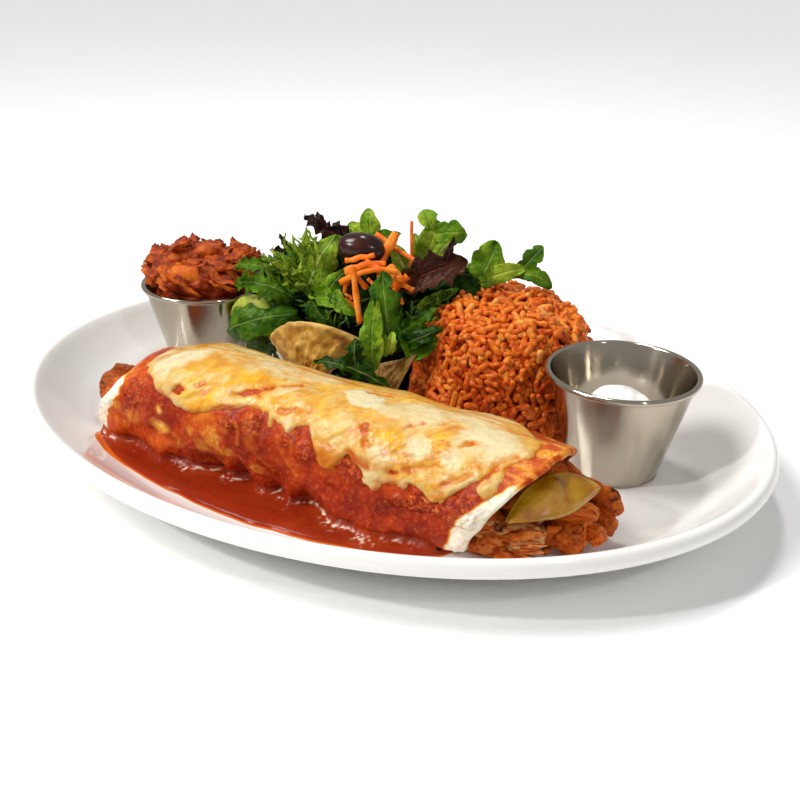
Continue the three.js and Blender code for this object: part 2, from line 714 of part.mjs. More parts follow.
const LEAVES = [
  // right, over the rice: one leaf of two lobes
  { from: [-6, 46, 52], via: [16, 58, 56], to: [25, 66, 76], width: 17, waves: 2, seed: 1 },
  { from: [-2, 48, 54], via: [22, 64, 58], to: [50, 67, 69], width: 18, waves: 3, seed: 2 },
  // top
  { from: [-6, 40, 50], to: [-3, 51, 90], width: 19, ruffle: 4, seed: 3 },
  { from: [-2, 42, 52], via: [2, 46, 72], to: [13, 50, 86], width: 17, seed: 4 },
  { from: [-27, 38, 54], to: [-36, 47, 87.5], width: 15, seed: 5 },
  { from: [-44, 20, 42], to: [-43, 27, 80], width: 18, face: [0.7, -0.7, 0.3], seed: 7 },
  { from: [-46, 36, 50], to: [-64, 41, 81], width: 11, seed: 8 },
  // left, over the bean cup's edge
  { from: [-48, 20, 46], to: [-77, 5, 67], width: 18, face: [0.1, -0.8, 0.6], seed: 10 },
  { from: [-46, 16, 42], to: [-77, 5, 55], width: 20, face: [0.1, -0.8, 0.6], ruffle: 4, seed: 11 },
  { from: [-48, 16, 38], to: [-77, 2, 33], width: 18, face: [0, -0.9, 0.4], bow: 5, seed: 12 },
  // front
  { from: [-6, 20, 42], via: [-1, 4, 52], to: [-3, 5, 73], width: 14, seed: 13 },
  { from: [-12, 12, 48], via: [-8, -2, 52], to: [-1, -7, 36], width: 12, seed: 14 },
  { from: [0, 22, 50], via: [6, 12, 56], to: [14, 4, 40], width: 20, cup: 4, seed: 15 },
  { from: [-24, 12, 38], via: [-20, -2, 44], to: [-27, -9, 30], width: 18, face: [0.2, -0.6, 0.8] },
  { from: [-30, 16, 52], via: [-28, 8, 62], to: [-15, 3, 53], width: 13, seed: 17 },
  // dark red leaf
  { from: [-8, 26, 52], via: [-2, 24, 64], to: [13, 38, 77], width: 20, ruffle: 4, seed: 18 },
  // back
  { from: [-30, 54, 40], to: [-24, 82, 24], width: 26, face: [0, 0.8, 0.6], seed: 19 },
  { from: [-50, 50, 40], to: [-68, 70, 24], width: 24, face: [-0.3, 0.8, 0.6], seed: 20 },
];

function olive(grow = 0) {
  const body = new THREE.SphereGeometry(1, 12, 8);
  body.rotateZ(Math.PI / 2);
  body.scale(OLIVE.length / 2 + grow, OLIVE.girth / 2 + grow, OLIVE.girth / 2 + grow);
  body.rotateY(0.12);
  body.rotateZ(0.28);
  body.translate(OLIVE.x, OLIVE.y, OLIVE.z);
  return toSolid(body);
}
addNode('olive', olive(), '#2a1210', 0.18);

// Carrot shreds: square strips that lie over each other
const SHREDS = [
  // from, to, sag
  [[-9.5, 40, 86], [-6, 32, 63], 0],
  [[-18, 32, 78.5], [2, 33, 67.5], 2.5],
  [[-20, 11.5, 72.5], [-13, 5, 50.5], 0],
  [[-27, 12, 65], [-7, 13, 67], 3],
  [[-25, 11, 62], [-3, 14, 62], 3],
  [[-17, 11, 63], [-1, 33, 70], 1],
  [[-11, 36, 78], [-13, 11, 66], 0],
];

function carrotStrip([from, to, sag], grow) {
  const [a, b] = [new THREE.Vector3(...from), new THREE.Vector3(...to)];
  const run = new THREE.Vector3().subVectors(b, a).normalize().multiplyScalar(grow);
  const middle = new THREE.Vector3().addVectors(a, b).multiplyScalar(0.5);
  middle.z += 2 * sag;
  middle.y -= sag;
  const path = new THREE.QuadraticBezierCurve3(a.sub(run), middle, b.add(run));
  const half = 1.25 + grow;
  const section = new THREE.Shape([
    new THREE.Vector2(-half, -half * 0.8), new THREE.Vector2(half, -half * 0.8),
    new THREE.Vector2(half, half * 0.8), new THREE.Vector2(-half, half * 0.8),
  ]);
  return toSolid(new THREE.ExtrudeGeometry(section, { steps: 3, extrudePath: path }));
}
const carrot = (grow = 0) => fuse(SHREDS.map((shred) => carrotStrip(shred, grow)));

// Tortilla chips: thin, blistered and curved, three-sided in plan
const CHIP_HALF = 1.1;                 // half a chip's thickness
const CHIPS = [
  ['chip_1', { a: [-60, 0, 35], b: [-9, 1, 42.5], c: [-27, -11, 24], bulge: 8, seed: 1 }],
  ['chip_2', { a: [-7, -3, 34.5], b: [14, 3, 38.5], c: [8, -10, 20], bulge: -4, seed: 2 }],
];

function chip({ a, b, c, bulge, seed }, grow = 0) {
  const blister = makeNoise(70 + seed);
  const [pa, pb, pc] = [a, b, c].map((p) => new THREE.Vector3(...p));
  const face = new THREE.Vector3()
    .crossVectors(new THREE.Vector3().subVectors(pb, pa), new THREE.Vector3().subVectors(pc, pa))
    .normalize();
  if (face.y > 0) face.negate();
  const base = new THREE.Vector3().subVectors(pb, pa);
  const broad = base.clone().normalize();
  const place = (u, v, side) => {
    const top = pa.clone().lerp(pb, u);
    top.z += 5.5 * 4 * u * (1 - u) * (bulge > 0 ? 1 : 0);
    const low = pc.clone().addScaledVector(base, 0.14 * (u - 0.5));
    const p = top.lerp(low, v);
    p.addScaledVector(broad, grow * (2 * u - 1));
    p.z -= grow * (2 * v - 1);
    const arch = bulge * (1 - (2 * u - 1) ** 2) * (1 - 0.6 * v);
    const bump = 0.7 * blister(u * 5, v * 4, 0);
    p.addScaledVector(face, arch + bump + side * (CHIP_HALF + 3 * grow));
    return [p.x, p.y, p.z];
  };
  return toSolid(sheet((u, v) => place(u, v, 1), (u, v) => place(u, v, -1), 8, 3));
}

// Avocado slice: a pale crescent wedge between the bean cup and the leaves
function avocado(grow = 0) {
  const wedge = new THREE.SphereGeometry(1, 10, 6);
  wedge.rotateZ(Math.PI / 2);
  wedge.scale(13 + grow, 4.2 + grow, 7 + grow);
  wedge.rotateY(-0.42);
  wedge.rotateZ(-0.35);
  wedge.translate(-70, 9, 42.5);
  return toSolid(wedge);
}

const garnish = cut(carrot(), [olive(GAP + 0.1), riceBlock]);
addNode('carrot_shreds', largest(garnish), '#f08030', 0.5);

function buildSalad() {
  const lumps = makeNoise(50);
  const rough = (c, s, h, foot) => (foot ? 0.5 : 1) * 4.5 * lumps(c * 2.6, s * 2.6 + 7, h * 3);
  const core = heap(SALAD, { rows: 6, columns: 14, rough });
  const keepClear = [
    burritoClear, riceBlock, cupBlock(BEAN_CUP, GAP), cupBlock(CREAM_CUP, GAP),
    olive(GAP), carrot(GAP + 0.05), avocado(GAP), ...CHIPS.map(([, shape]) => chip(shape, GAP + 0.1)),
    beanBlock(BEAN_BUMP),
  ];
  return largest(cut(fuse([core, ...LEAVES.map(leaf)]), keepClear));
}
addNode('salad', buildSalad(), '#4d7f24', 0.6);

addNode('avocado_slice', largest(cut(avocado(), [cupBlock(BEAN_CUP, GAP)])), '#b9cc62', 0.45);
for (const [name, shape] of CHIPS) {
  addNode(name, largest(cut(chip(shape), [burritoClear, riceBlock])), '#b98a42', SOFT);
}

export default meal;
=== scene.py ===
# A plated chicken burrito meal: the looks of every food on its oval platter.
# Lengths are in millimetres until makePiece turns them to metres. +X runs along the platter,
# +Y from the burrito to the salad, +Z up from the table.
import math

import bpy
import numpy as np
from mathutils import Matrix, Vector


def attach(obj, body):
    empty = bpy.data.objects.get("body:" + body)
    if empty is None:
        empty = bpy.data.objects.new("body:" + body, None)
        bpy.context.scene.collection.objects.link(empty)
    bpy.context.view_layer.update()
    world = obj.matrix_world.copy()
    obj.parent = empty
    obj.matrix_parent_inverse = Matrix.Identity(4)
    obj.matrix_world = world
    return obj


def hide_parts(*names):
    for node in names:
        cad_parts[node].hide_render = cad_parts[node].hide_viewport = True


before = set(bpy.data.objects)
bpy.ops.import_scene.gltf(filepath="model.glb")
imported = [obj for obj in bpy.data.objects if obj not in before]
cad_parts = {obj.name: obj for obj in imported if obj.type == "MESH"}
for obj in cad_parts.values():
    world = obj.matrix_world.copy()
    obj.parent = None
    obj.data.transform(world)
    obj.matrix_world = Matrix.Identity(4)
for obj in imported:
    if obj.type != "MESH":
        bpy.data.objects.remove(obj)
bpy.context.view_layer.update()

goldenAngle = 2.399963  # spreads many small things evenly round a dome


# Colour, nodes and materials

def linearColor(hexText):
    parts = [int(hexText[i:i + 2], 16) / 255 for i in (0, 2, 4)]
    return (*[p / 12.92 if p <= 0.04045 else ((p + 0.055) / 1.055) ** 2.4 for p in parts], 1.0)


def perMm(size):
    return 1000 / size  # pattern scale that repeats about every so many mm


# a value may be a number, a node or a socket that feeds the input, or a plain setting of the node
def fillNode(tree, node, values):
    for key, value in values.items():
        if key == "stops":  # colours along a ramp, first and last are there already
            ends = node.color_ramp.elements
            for element, (place, color) in ((ends[0], value[0]), (ends[1], value[-1])):
                element.position, element.color = place, linearColor(color)
            for place, color in value[1:-1]:
                ends.new(place).color = linearColor(color)
        elif isinstance(value, bpy.types.Node):
            tree.links.new(value.outputs[0], node.inputs[key])
        elif isinstance(value, bpy.types.NodeSocket):
            tree.links.new(value, node.inputs[key])
        elif isinstance(key, int) or key in node.inputs:
            node.inputs[key].default_value = value
        else:
            setattr(node, key, value)
    return node


def addNode(tree, kind, values):
    return fillNode(tree, tree.nodes.new("ShaderNode" + kind), values)


# a material with the object's coordinates and the values of its points that the nodes read
def newMaterial(name, values, layerNames=()):
    material = bpy.data.materials.new(name)
    material.use_nodes = True
    tree = material.node_tree
    shader = fillNode(tree, tree.nodes["Principled BSDF"], values)
    place = addNode(tree, "TexCoord", {}).outputs["Object"]
    layers = {key: addNode(tree, "Attribute", {"attribute_name": key}).outputs["Fac"]
        for key in layerNames}
    return material, tree, shader, place, layers


# Numbers

def smooth(a, b, t):
    s = np.clip((t - a) / (b - a), 0, 1)
    return s * s * (3 - 2 * s)


def mixed(a, b, t):
    return a + (b - a) * t


def curveThrough(pairs, x):
    xs, ys = zip(*pairs)
    return np.interp(x, xs, ys)


def bump(value, width):
    return np.exp(-(value / width) ** 2)


# smooth lattice noise between -1 and 1, the same in every run
def makeNoise(seed):
    whole = np.uint32

    def corner(i, j, k):
        h = i * whole(374761393) + j * whole(668265263) + k * whole(2147483647) + whole(seed * 9781)
        h = (h ^ (h >> whole(13))) * whole(1274126177)
        return (h ^ (h >> whole(16))) / 4294967295.0 * 2 - 1

    def at(x, y, z=0.0):
        x, y, z = np.broadcast_arrays(*[np.asarray(v, float) for v in (x, y, z)])
        low = [np.floor(v) for v in (x, y, z)]
        u, v, w = [(f * f * (3 - 2 * f)) for f in (x - low[0], y - low[1], z - low[2])]
        i, j, k = [(v0.astype(np.int64) & 0xFFFFFFFF).astype(whole) for v0 in low]
        one = whole(1)
        with np.errstate(over="ignore"):
            rows = [mixed(corner(i, j + b, k + c), corner(i + one, j + b, k + c), u)
                for c in (whole(0), one) for b in (whole(0), one)]
        return mixed(mixed(rows[0], rows[1], v), mixed(rows[2], rows[3], v), w)
    return at


def layered(noise, x, y, z=0.0, count=3, fade=0.5):
    total, size, share = 0.0, 1.0, 1.0
    for n in range(count):
        total = total + share * noise(x * size + 7 * n, y * size + 3 * n, z * size)
        size, share = size * 2.03, share * fade
    return total


def unit(v):
    return v / np.maximum(np.linalg.norm(v, axis=-1, keepdims=True), 1e-9)


def circle(count):
    return np.linspace(0, 2 * np.pi, count, endpoint=False)


# Meshes: points are arrays of x, y, z and faces are lists of index arrays

def gridFaces(rows, columns, start=0, wrapRows=False, wrapColumns=False, flip=False):
    i = np.arange(rows if wrapRows else rows - 1)[:, None]
    j = np.arange(columns if wrapColumns else columns - 1)[None, :]
    k, l = (i + 1) % rows, (j + 1) % columns
    quads = np.stack([i * columns + j, k * columns + j, k * columns + l, i * columns + l], -1)
    quads = quads.reshape(-1, 4) + start
    return quads[:, ::-1] if flip else quads


# a body through rings of equal length, an array rings x around x 3, shut by a fan at each end
def ringSolid(rings):
    rows, columns = rings.shape[:2]
    count = rows * columns
    points = np.concatenate([rings.reshape(-1, 3), rings[0].mean(0)[None], rings[-1].mean(0)[None]])
    j = np.arange(columns)
    k = (j + 1) % columns
    first = np.stack([np.full(columns, count), j, k], -1)
    last = np.stack([np.full(columns, count + 1), k + count - columns, j + count - columns], -1)
    return points, [gridFaces(rows, columns, wrapColumns=True), np.concatenate([first, last])]


# a thin body between two grids of the same size, shut round its rim
def sheetSolid(top, bottom):
    rows, columns = top.shape[:2]
    count = rows * columns
    i, j = np.arange(rows), np.arange(columns)
    rim = np.concatenate([i * columns, (rows - 1) * columns + j[1:], i[::-1][1:] * columns + columns - 1,
        j[::-1][1:-1]])
    after = np.roll(rim, -1)
    edge = np.stack([rim, rim + count, after + count, after], -1)
    faces = [gridFaces(rows, columns), gridFaces(rows, columns, count, flip=True), edge]
    return np.concatenate([top.reshape(-1, 3), bottom.reshape(-1, 3)]), [np.concatenate(faces)]


# values for both grids of a sheet
def sheetLayers(shape, values):
    return {name: np.tile(np.broadcast_to(value, shape).ravel(), 2) for name, value in values.items()}


def volumeOf(points, faces):
    total = 0.0
    for group in faces:
        a = points[group[:, 0]]
        for n in range(1, group.shape[1] - 1):
            total += np.sum(a * np.cross(points[group[:, n]], points[group[:, n + 1]]))
    return total


# several closed shapes as one: each is points, faces and a dictionary of values per point
def joinShapes(shapes):
    points, faces, layers, start = [], {}, {}, 0
    for shapePoints, shapeFaces, shapeLayers in shapes:
        if volumeOf(shapePoints - shapePoints.mean(0), shapeFaces) < 0:
            shapeFaces = [group[:, ::-1] for group in shapeFaces]
        points.append(shapePoints)
        for group in shapeFaces:
            faces.setdefault(group.shape[1], []).append(group + start)
        for name, value in shapeLayers.items():
            layers.setdefault(name, []).append(np.broadcast_to(value, (len(shapePoints),)))
        start += len(shapePoints)
    return (np.concatenate(points), [np.concatenate(f) for f in faces.values()],
        {name: np.concatenate(v) for name, v in layers.items()})


def makePiece(name, points, faces, material, replaced=(), layers=None):
    points = np.asarray(points, float).reshape(-1, 3)
    if volumeOf(points - points.mean(0), faces) < 0:
        faces = [group[:, ::-1] for group in faces]
    mesh = bpy.data.meshes.new(name)
    loops = np.concatenate([group.ravel() for group in faces])
    sizes = np.concatenate([np.full(len(group), group.shape[1]) for group in faces])
    mesh.vertices.add(len(points))
    mesh.vertices.foreach_set("co", (points / 1000).ravel())
    mesh.loops.add(len(loops))
    mesh.loops.foreach_set("vertex_index", loops.astype(np.int32))
    mesh.polygons.add(len(sizes))
    mesh.polygons.foreach_set("loop_start", (np.cumsum(sizes) - sizes).astype(np.int32))
    mesh.polygons.foreach_set("use_smooth", np.ones(len(sizes), bool))
    mesh.update(calc_edges=True)
    for layer, value in (layers or {}).items():
        attribute = mesh.attributes.new(layer, "FLOAT", "POINT")
        attribute.data.foreach_set("value", np.asarray(value, np.float32).ravel())
    piece = bpy.data.objects.new(name, mesh)
    bpy.context.scene.collection.objects.link(piece)
    mesh.materials.append(material)
    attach(piece, "root")
    if replaced:
        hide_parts(*replaced)
    print("made", name, len(points), "points")
    return piece


# Camera, light and floor

view = {
    "place": (182.9, -341.9, 204.5),
    "azimuth": 26.98,  # degrees round from the front, toward +X
    "elevation": 25.61,
    "roll": 0.83,
    "lens": 44.83,
}


def placeCamera():
    turn, rise, roll = [math.radians(view[k]) for k in ("azimuth", "elevation", "roll")]
    ahead = Vector((-math.sin(turn) * math.cos(rise), math.cos(turn) * math.cos(rise), -math.sin(rise)))
    right = ahead.cross(Vector((0, 0, 1))).normalized()
    up = right.cross(ahead)
    across = right * math.cos(roll) + up * math.sin(roll)
    above = up * math.cos(roll) - right * math.sin(roll)
    camera = bpy.data.objects.new("camera", bpy.data.cameras.new("camera"))
    camera.data.lens = view["lens"]
    camera.data.sensor_width = 36
    camera.data.clip_start = 0.01
    place = Vector(view["place"]) / 1000
    camera.matrix_world = (Matrix.Translation(place) @ Matrix((across, above,
        -ahead)).transposed().to_4x4())
    bpy.context.scene.collection.objects.link(camera)
    bpy.context.scene.camera = camera


# softboxes: place and aim in metres, size in metres, watts
softboxes = {
    "overhead": {"place": (-0.15, 0.35, 1.1), "aim": (0, 0, 0), "size": 0.16, "power": 3.6},
    "frontLeft": {"place": (-0.55, -0.75, 0.75), "aim": (0, 0, 0.02), "size": 0.07, "power": 4.6},
    "right": {"place": (0.75, -0.45, 0.8), "aim": (0, 0, 0.03), "size": 0.06, "power": 1.2},
}
daylight = {"sun": 1.75, "softness": 20, "from": (-0.56, -0.28, 0.88), "sky": 0.36}


def lightScene():
    for name, box in softboxes.items():
        light = bpy.data.lights.new(name, "AREA")
        light.shape = "DISK"
        light.size = box["size"]
        light.energy = box["power"]
        lamp = bpy.data.objects.new(name, light)
        lamp.location = box["place"]
        lamp.rotation_mode = "QUATERNION"
        aim = Vector(box["aim"]) - Vector(box["place"])
        lamp.rotation_quaternion = aim.to_track_quat("-Z", "Y")
        bpy.context.scene.collection.objects.link(lamp)
    sun = bpy.data.lights.new("sun", "SUN")
    sun.energy = daylight["sun"]
    sun.angle = math.radians(daylight["softness"])
    lamp = bpy.data.objects.new("sun", sun)
    lamp.rotation_mode = "QUATERNION"
    lamp.rotation_quaternion = (-Vector(daylight["from"])).to_track_quat("-Z", "Y")
    bpy.context.scene.collection.objects.link(lamp)
    world = bpy.data.worlds.new("studio")
    world.use_nodes = True
    sky = world.node_tree.nodes["Background"]
    sky.inputs["Color"].default_value = linearColor("ffffff")
    sky.inputs["Strength"].default_value = daylight["sky"]
    bpy.context.scene.world = world
    bpy.context.scene.view_settings.view_transform = "Standard"


def layFloor():
    material = newMaterial("white studio paper", {"Base Color": linearColor("fbfbfa"), "Roughness": 0.9,
        "Specular IOR Level": 0.1})[0]
    size = 9000
    points = np.array([[-size, -size, -0.4], [size, -size, -0.4], [size, size, -0.4],
        [-size, size, -0.4]])
    mesh = bpy.data.meshes.new("floor")
    mesh.from_pydata((points / 1000).tolist(), [], [(0, 1, 2, 3)])
    floor = bpy.data.objects.new("floor", mesh)
    mesh.materials.append(material)
    bpy.context.scene.collection.objects.link(floor)


placeCamera()
lightScene()
layFloor()
print("camera, light and floor ready")


# Platter: vitrified porcelain, glazed and fired. The glaze is a thick clear glossy coat over a warm
# white body, so it shows sharp reflections with a faint waviness.

platter = {
    "crestA": 159.7,  # half axes of the rim's crest line
    "crestB": 121.9,
    "segments": 160,
    # distance inward from the crest, height: the floor, up the coupe, over the rim, down to the foot
    "inside": [(34, 5.0), (30, 5.0), (26, 6.1), (22.5, 7.7), (15, 12.8), (8, 19.3), (3, 24.8)],
    "rim": [(1.4, 26.3), (0.4, 26.8), (-0.7, 26.8), (-1.8, 26.1), (-2.7, 24.4), (-2.9, 22.6),
        (-2.2, 20.9)],
    "outside": [(0.2, 19.2), (7, 14.7), (15, 9.1), (24, 4.1), (34, 1.6), (40.4, 1.4)],
    "foot": [(41.6, 0.25), (42.3, 0), (46.7, 0), (47.6, 0.3), (48.6, 1.5)],
}


def crestPoint(angle, inward):
    a, b = platter["crestA"], platter["crestB"]
    c, s = np.cos(angle), np.sin(angle)
    reach = np.hypot(b * c, a * s)
    return (a - inward * b / reach) * c, (b - inward * a / reach) * s


def coupeZ(x, y):
    a, b = platter["crestA"], platter["crestB"]
    angle = np.arctan2(y / b, x / a)
    reach = np.hypot(b * np.cos(angle), a * np.sin(angle))
    inward = (1 - np.hypot(x / a, y / b)) * a * b / reach
    line = platter["inside"][::-1]
    return curveThrough(line, inward)


# a smooth line through points, by cubic segments that meet with one slope
def smoothLine(points, steps):
    p = np.asarray(points, float)
    p = np.concatenate([2 * p[:1] - p[1:2], p, 2 * p[-1:] - p[-2:-1]])
    t = np.linspace(0, 1, steps, endpoint=False)[:, None]
    spans = []
    for n in range(1, len(p) - 2):
        a, b = (p[n + 1] - p[n - 1]) / 2, (p[n + 2] - p[n]) / 2
        spans.append(p[n] * (2 * t ** 3 - 3 * t ** 2 + 1) + a * (t ** 3 - 2 * t ** 2 + t)
            + p[n + 1] * (3 * t ** 2 - 2 * t ** 3) + b * (t ** 3 - t ** 2))
    return np.concatenate([*spans, p[-2:-1]])


def glazedPorcelain():
    material, tree, shader, place, _ = newMaterial("glazed porcelain",
        {"Roughness": 0.09, "IOR": 1.52, "Coat Weight": 0.25, "Coat Roughness": 0.04})
    cloud = addNode(tree, "TexNoise", {"Scale": perMm(60), "Detail": 2.0, "Vector": place})
    tint = addNode(tree, "ValToRGB", {"stops": [(0.35, "edeae5"), (0.7, "f2efeb")], "Fac": cloud})
    wave = addNode(tree, "TexNoise", {"Scale": perMm(14), "Detail": 1.0, "Vector": place})
    dimple = addNode(tree, "Bump", {"Strength": 0.05, "Distance": 0.0006, "Height": wave})
    fillNode(tree, shader, {"Base Color": tint, "Normal": dimple})
    return material


def makePlatter():
    line = np.concatenate([smoothLine(platter["inside"], 4)[:-1],
        smoothLine([platter["inside"][-1], *platter["rim"], platter["outside"][0]], 5)[:-1],
        smoothLine(platter["outside"], 3)[:-1], smoothLine([platter["outside"][-1], *platter["foot"]],
        2)])
    angle = circle(platter["segments"])
    rings = []
    for inward, z in line:
        x, y = crestPoint(angle, inward)
        rings.append(np.stack([x, y, np.full_like(x, z)], -1))
    points, faces = ringSolid(np.array(rings))
    makePiece("platterGlaze", points, faces, glazedPorcelain(), ("platter",))


makePlatter()


# Cups: spun stainless steel with a rolled rim. Spinning leaves fine rings that spread the highlights
# sideways, and the satin wall mirrors the foods softly.

floorZ = 5.3
cup = {
    "segments": 100,
    "outside": [(0, 0), (16.6, 0), (17.6, 0.35), (18.3, 1.6), (23.4, 20.7), (28.6, 40.6)],
    "rim": [(28.8, 41.0), (29.6, 41.0), (30.3, 41.5), (30.5, 42.3), (30.1, 43.1), (29.2, 43.4),
        (28.3, 43.0)],
    "inside": [(27.9, 42.0), (22.2, 22.0), (17.2, 4.4), (15.8, 2.3), (13.6, 1.7), (0, 1.4)],
}
beanCup = (-107.8, 21.6)
creamCup = (98.7, 15.1)


def lathe(line, centre, segments, z=floorZ):
    angle = circle(segments)
    line = np.asarray(line, float)
    rings = np.empty((len(line), segments, 3))
    rings[..., 0] = centre[0] + line[:, :1] * np.cos(angle)
    rings[..., 1] = centre[1] + line[:, :1] * np.sin(angle)
    rings[..., 2] = z + line[:, 1:]
    return rings


def spunSteel():
    material, tree, shader, place, _ = newMaterial("spun stainless steel",
        {"Base Color": linearColor("bcb2a2"), "Metallic": 1.0, "Anisotropic": 0.85,
        "Anisotropic Rotation": 0.25})
    # rings left by the spinning tool, about 0.5 mm apart, drawn coarser than the real ones so they show
    flat = addNode(tree, "Mapping", {"Scale": (0.03, 0.03, 1.0), "Vector": place})
    rings = addNode(tree, "TexNoise", {"Scale": perMm(0.7), "Detail": 4.0, "Roughness": 0.65,
        "Vector": flat})
    groove = addNode(tree, "Bump", {"Strength": 0.06, "Distance": 0.0003, "Height": rings})
    broad = addNode(tree, "TexNoise", {"Scale": perMm(5), "Detail": 3.0, "Vector": flat})
    rough = addNode(tree, "MapRange", {"To Min": 0.13, "To Max": 0.18, "Value": broad})
    around = addNode(tree, "Tangent", {"direction_type": "RADIAL", "axis": "Z"})
    fillNode(tree, shader, {"Normal": groove, "Roughness": rough, "Tangent": around})
    return material


def makeCups():
    steel = spunSteel()
    line = np.concatenate([smoothLine(cup["outside"], 4)[:-1],
        smoothLine([cup["outside"][-1], *cup["rim"], cup["inside"][0]], 4)[:-1],
        smoothLine(cup["inside"], 5)])
    line[:, 0] = np.maximum(line[:, 0], 0.05)
    for name, centre, node in (("beanCupSteel", beanCup, "cup_beans"),
            ("creamCupSteel", creamCup, "cup_cream")):
        points, faces = ringSolid(lathe(line, centre, cup["segments"]))
        makePiece(name, points, faces, steel, (node,))


makeCups()


# Cream: cultured cream, spooned in. It scatters light inside and has a soft wet gloss.

cream = {
    "line": [(0.1, 1.9), (14.0, 2.8), (16.4, 5.2), (18.8, 15.0), (18.6, 18.2), (16.2, 23.4), (12.8, 28.4),
        (9.4, 31.6), (5.6, 33.4), (2.8, 34.4), (1.3, 35.4), (0.5, 35.7), (0.1, 35.75)],
    "swirl": 0.5,
}


def culturedCream():
    material, tree, shader, place, _ = newMaterial("cultured cream",
        {"Base Color": linearColor("fcfaf6"), "Roughness": 0.32, "IOR": 1.45, "Subsurface Weight": 0.35,
        "Subsurface Scale": 0.004, "Subsurface Radius": (1.0, 0.9, 0.75)})
    folds = addNode(tree, "TexNoise", {"Scale": perMm(5), "Detail": 2.0, "Vector": place})
    soft = addNode(tree, "Bump", {"Strength": 0.3, "Distance": 0.0006, "Height": folds})
    fillNode(tree, shader, {"Normal": soft})
    return material


def makeCream():
    line = smoothLine(cream["line"], 4)
    rings = lathe(line, creamCup, 96)
    noise = makeNoise(12)
    angle = np.arctan2(rings[..., 1] - creamCup[1], rings[..., 0] - creamCup[0])
    radius = line[:, :1]
    spiral = np.sin(angle + radius * 0.55) * smooth(1.5, 7, radius) * smooth(18.5, 13, radius)
    lift = (cream["swirl"] * spiral * smooth(24, 30, line[:, 1:]) + 0.4 * noise(rings[..., 0] / 5,
        rings[..., 1] / 5) * smooth(18, 14, radius))
    rings[..., 2] += lift * smooth(16, 22, line[:, 1:]) * smooth(0.1, 1.5, radius)
    points, faces = ringSolid(rings)
    makePiece("creamDollop", points, faces, culturedCream(), ("cream",))


makeCream()
print("platter, cups and cream done")


# Burrito: a flour tortilla rolled into a tube that is open and cut aslant at both ends

burrito = {
    "leftX": -105, "rightX": 78, "midY": -50.5, "slope": -0.068, "bottomZ": 5.5, "waistZ": 24, "topZ": 47.4,
    "halfWidth": 25.6, "topPower": 2.25, "bottomPower": 3.2, "wall": 2.7,
    "stations": 256, "innerStations": 12,
    "lipTurns": 6,
}
slump = makeNoise(3)


# a point of the tube's wall: 0 degrees is the back, 90 the top, 180 the front
def tubePoint(x, degrees, offset, relief=1.0):
    angle = np.radians(degrees)
    c, s = np.cos(angle), np.sin(angle)
    power = np.where(s > 0, burrito["topPower"], burrito["bottomPower"])
    radius = (np.abs(c) ** power + np.abs(s) ** power) ** (-1 / power)
    taper = 1 - 0.13 * smooth(-55, -100, x) - 0.03 * smooth(60, 100, x)
    drop = 9.5 * smooth(-52, -100, x) + 1.5 * smooth(60, 104, x)
    lumps = (relief * (1.1 * slump(x / 26, c * 1.3 + 4, s * 1.3) + 0.5 * slump(x / 11, c * 2.4,
        s * 2.4 + 9)))
    wide = burrito["halfWidth"] * taper + offset + lumps * np.clip(s + 0.9, 0, 1)
    above = burrito["topZ"] - drop - burrito["waistZ"]
    below = burrito["waistZ"] - burrito["bottomZ"]
    high = np.where(s > 0, above + lumps, below) + offset
    y = burrito["midY"] + burrito["slope"] * x + wide * c * radius
    return np.stack(np.broadcast_arrays(x, y, burrito["waistZ"] + high * s * radius), -1)


def tubeEnds(degrees, offset):
    place = tubePoint(np.zeros_like(degrees), degrees, offset, 0.0)
    high = place[..., 2] - burrito["bottomZ"]
    back = place[..., 1] - (burrito["midY"] - burrito["halfWidth"])
    return burrito["leftX"] + 0.45 * high, burrito["rightX"] - 8 + 0.57 * high + 0.2 * back


mmPerDegree = 0.43  # along the tube's skin

# where the skin carries something: x, degrees and half sizes in mm
skin = {
    # cheese that ran down under the sauce, from x and degrees to x and degrees, radius, height
    "runs": [(-28, 160, -28, 165, 2.6, 0.8), (-22.4, 160, -22.2, 176, 1.3, 0.7),
        (-17.5, 150, -15, 170, 4.6, 1.3), (-61.5, 161, -61.5, 168, 1.9, 0.5), (-4, 158, 5, 190, 1.5, 0.5),
        (-12, 176, -6, 196, 1.2, 0.4)],
    # thin spots where pale dough shows through the sauce: x, degrees, radius, strength
    "bare": [(-61.3, 184, 4.4, 1.0), (-62, 165, 2.2, 0.9), (-80, 186, 4.0, 0.3), (-46, 178, 3.0, 0.35),
        (-34, 180, 5.0, 0.55), (-39.5, 190, 4.4, 0.4), (-28, 190, 3.4, 0.45), (-88, 178, 4.0, 0.3),
        (-14, 198, 3.0, 0.3), (-52, 196, 4.0, 0.2)],
    # how far the sauced skin swells or draws in along the waterline: x, mm
    "shore": [(-102, 0), (-98, 1.0), (-90, 2.2), (-82, -0.4), (-73, 1.2), (-62, 3.4), (-57, 0.8),
        (-47, 0.7), (-35, -1.8), (-28, 0.4), (-22, -2.4), (-15, 1.2), (-11, 2.0), (-6, -0.8), (2, 2.3),
        (7, -1.4), (14, 0.5), (23, 3.2), (30, 3.4), (41, 3.4), (50, 1.8), (54, 1.2), (63, 1.5), (72, 0.4),
        (84, 0)],
    # wet patches with a skin of coarse sauce pulp: x, degrees, radius along, radius across
    "pulp": [(-77, 152, 6.5, 9), (-27, 156, 4.5, 4), (-16, 152, 4.8, 5.5), (2, 153, 4.2, 4.6),
        (8, 164, 5, 4.6), (33, 168, 9, 2.8), (64, 173, 11, 4.2), (74, 168, 7, 6), (54, 178, 9, 3),
        (27, 158, 4, 3.4)],
}


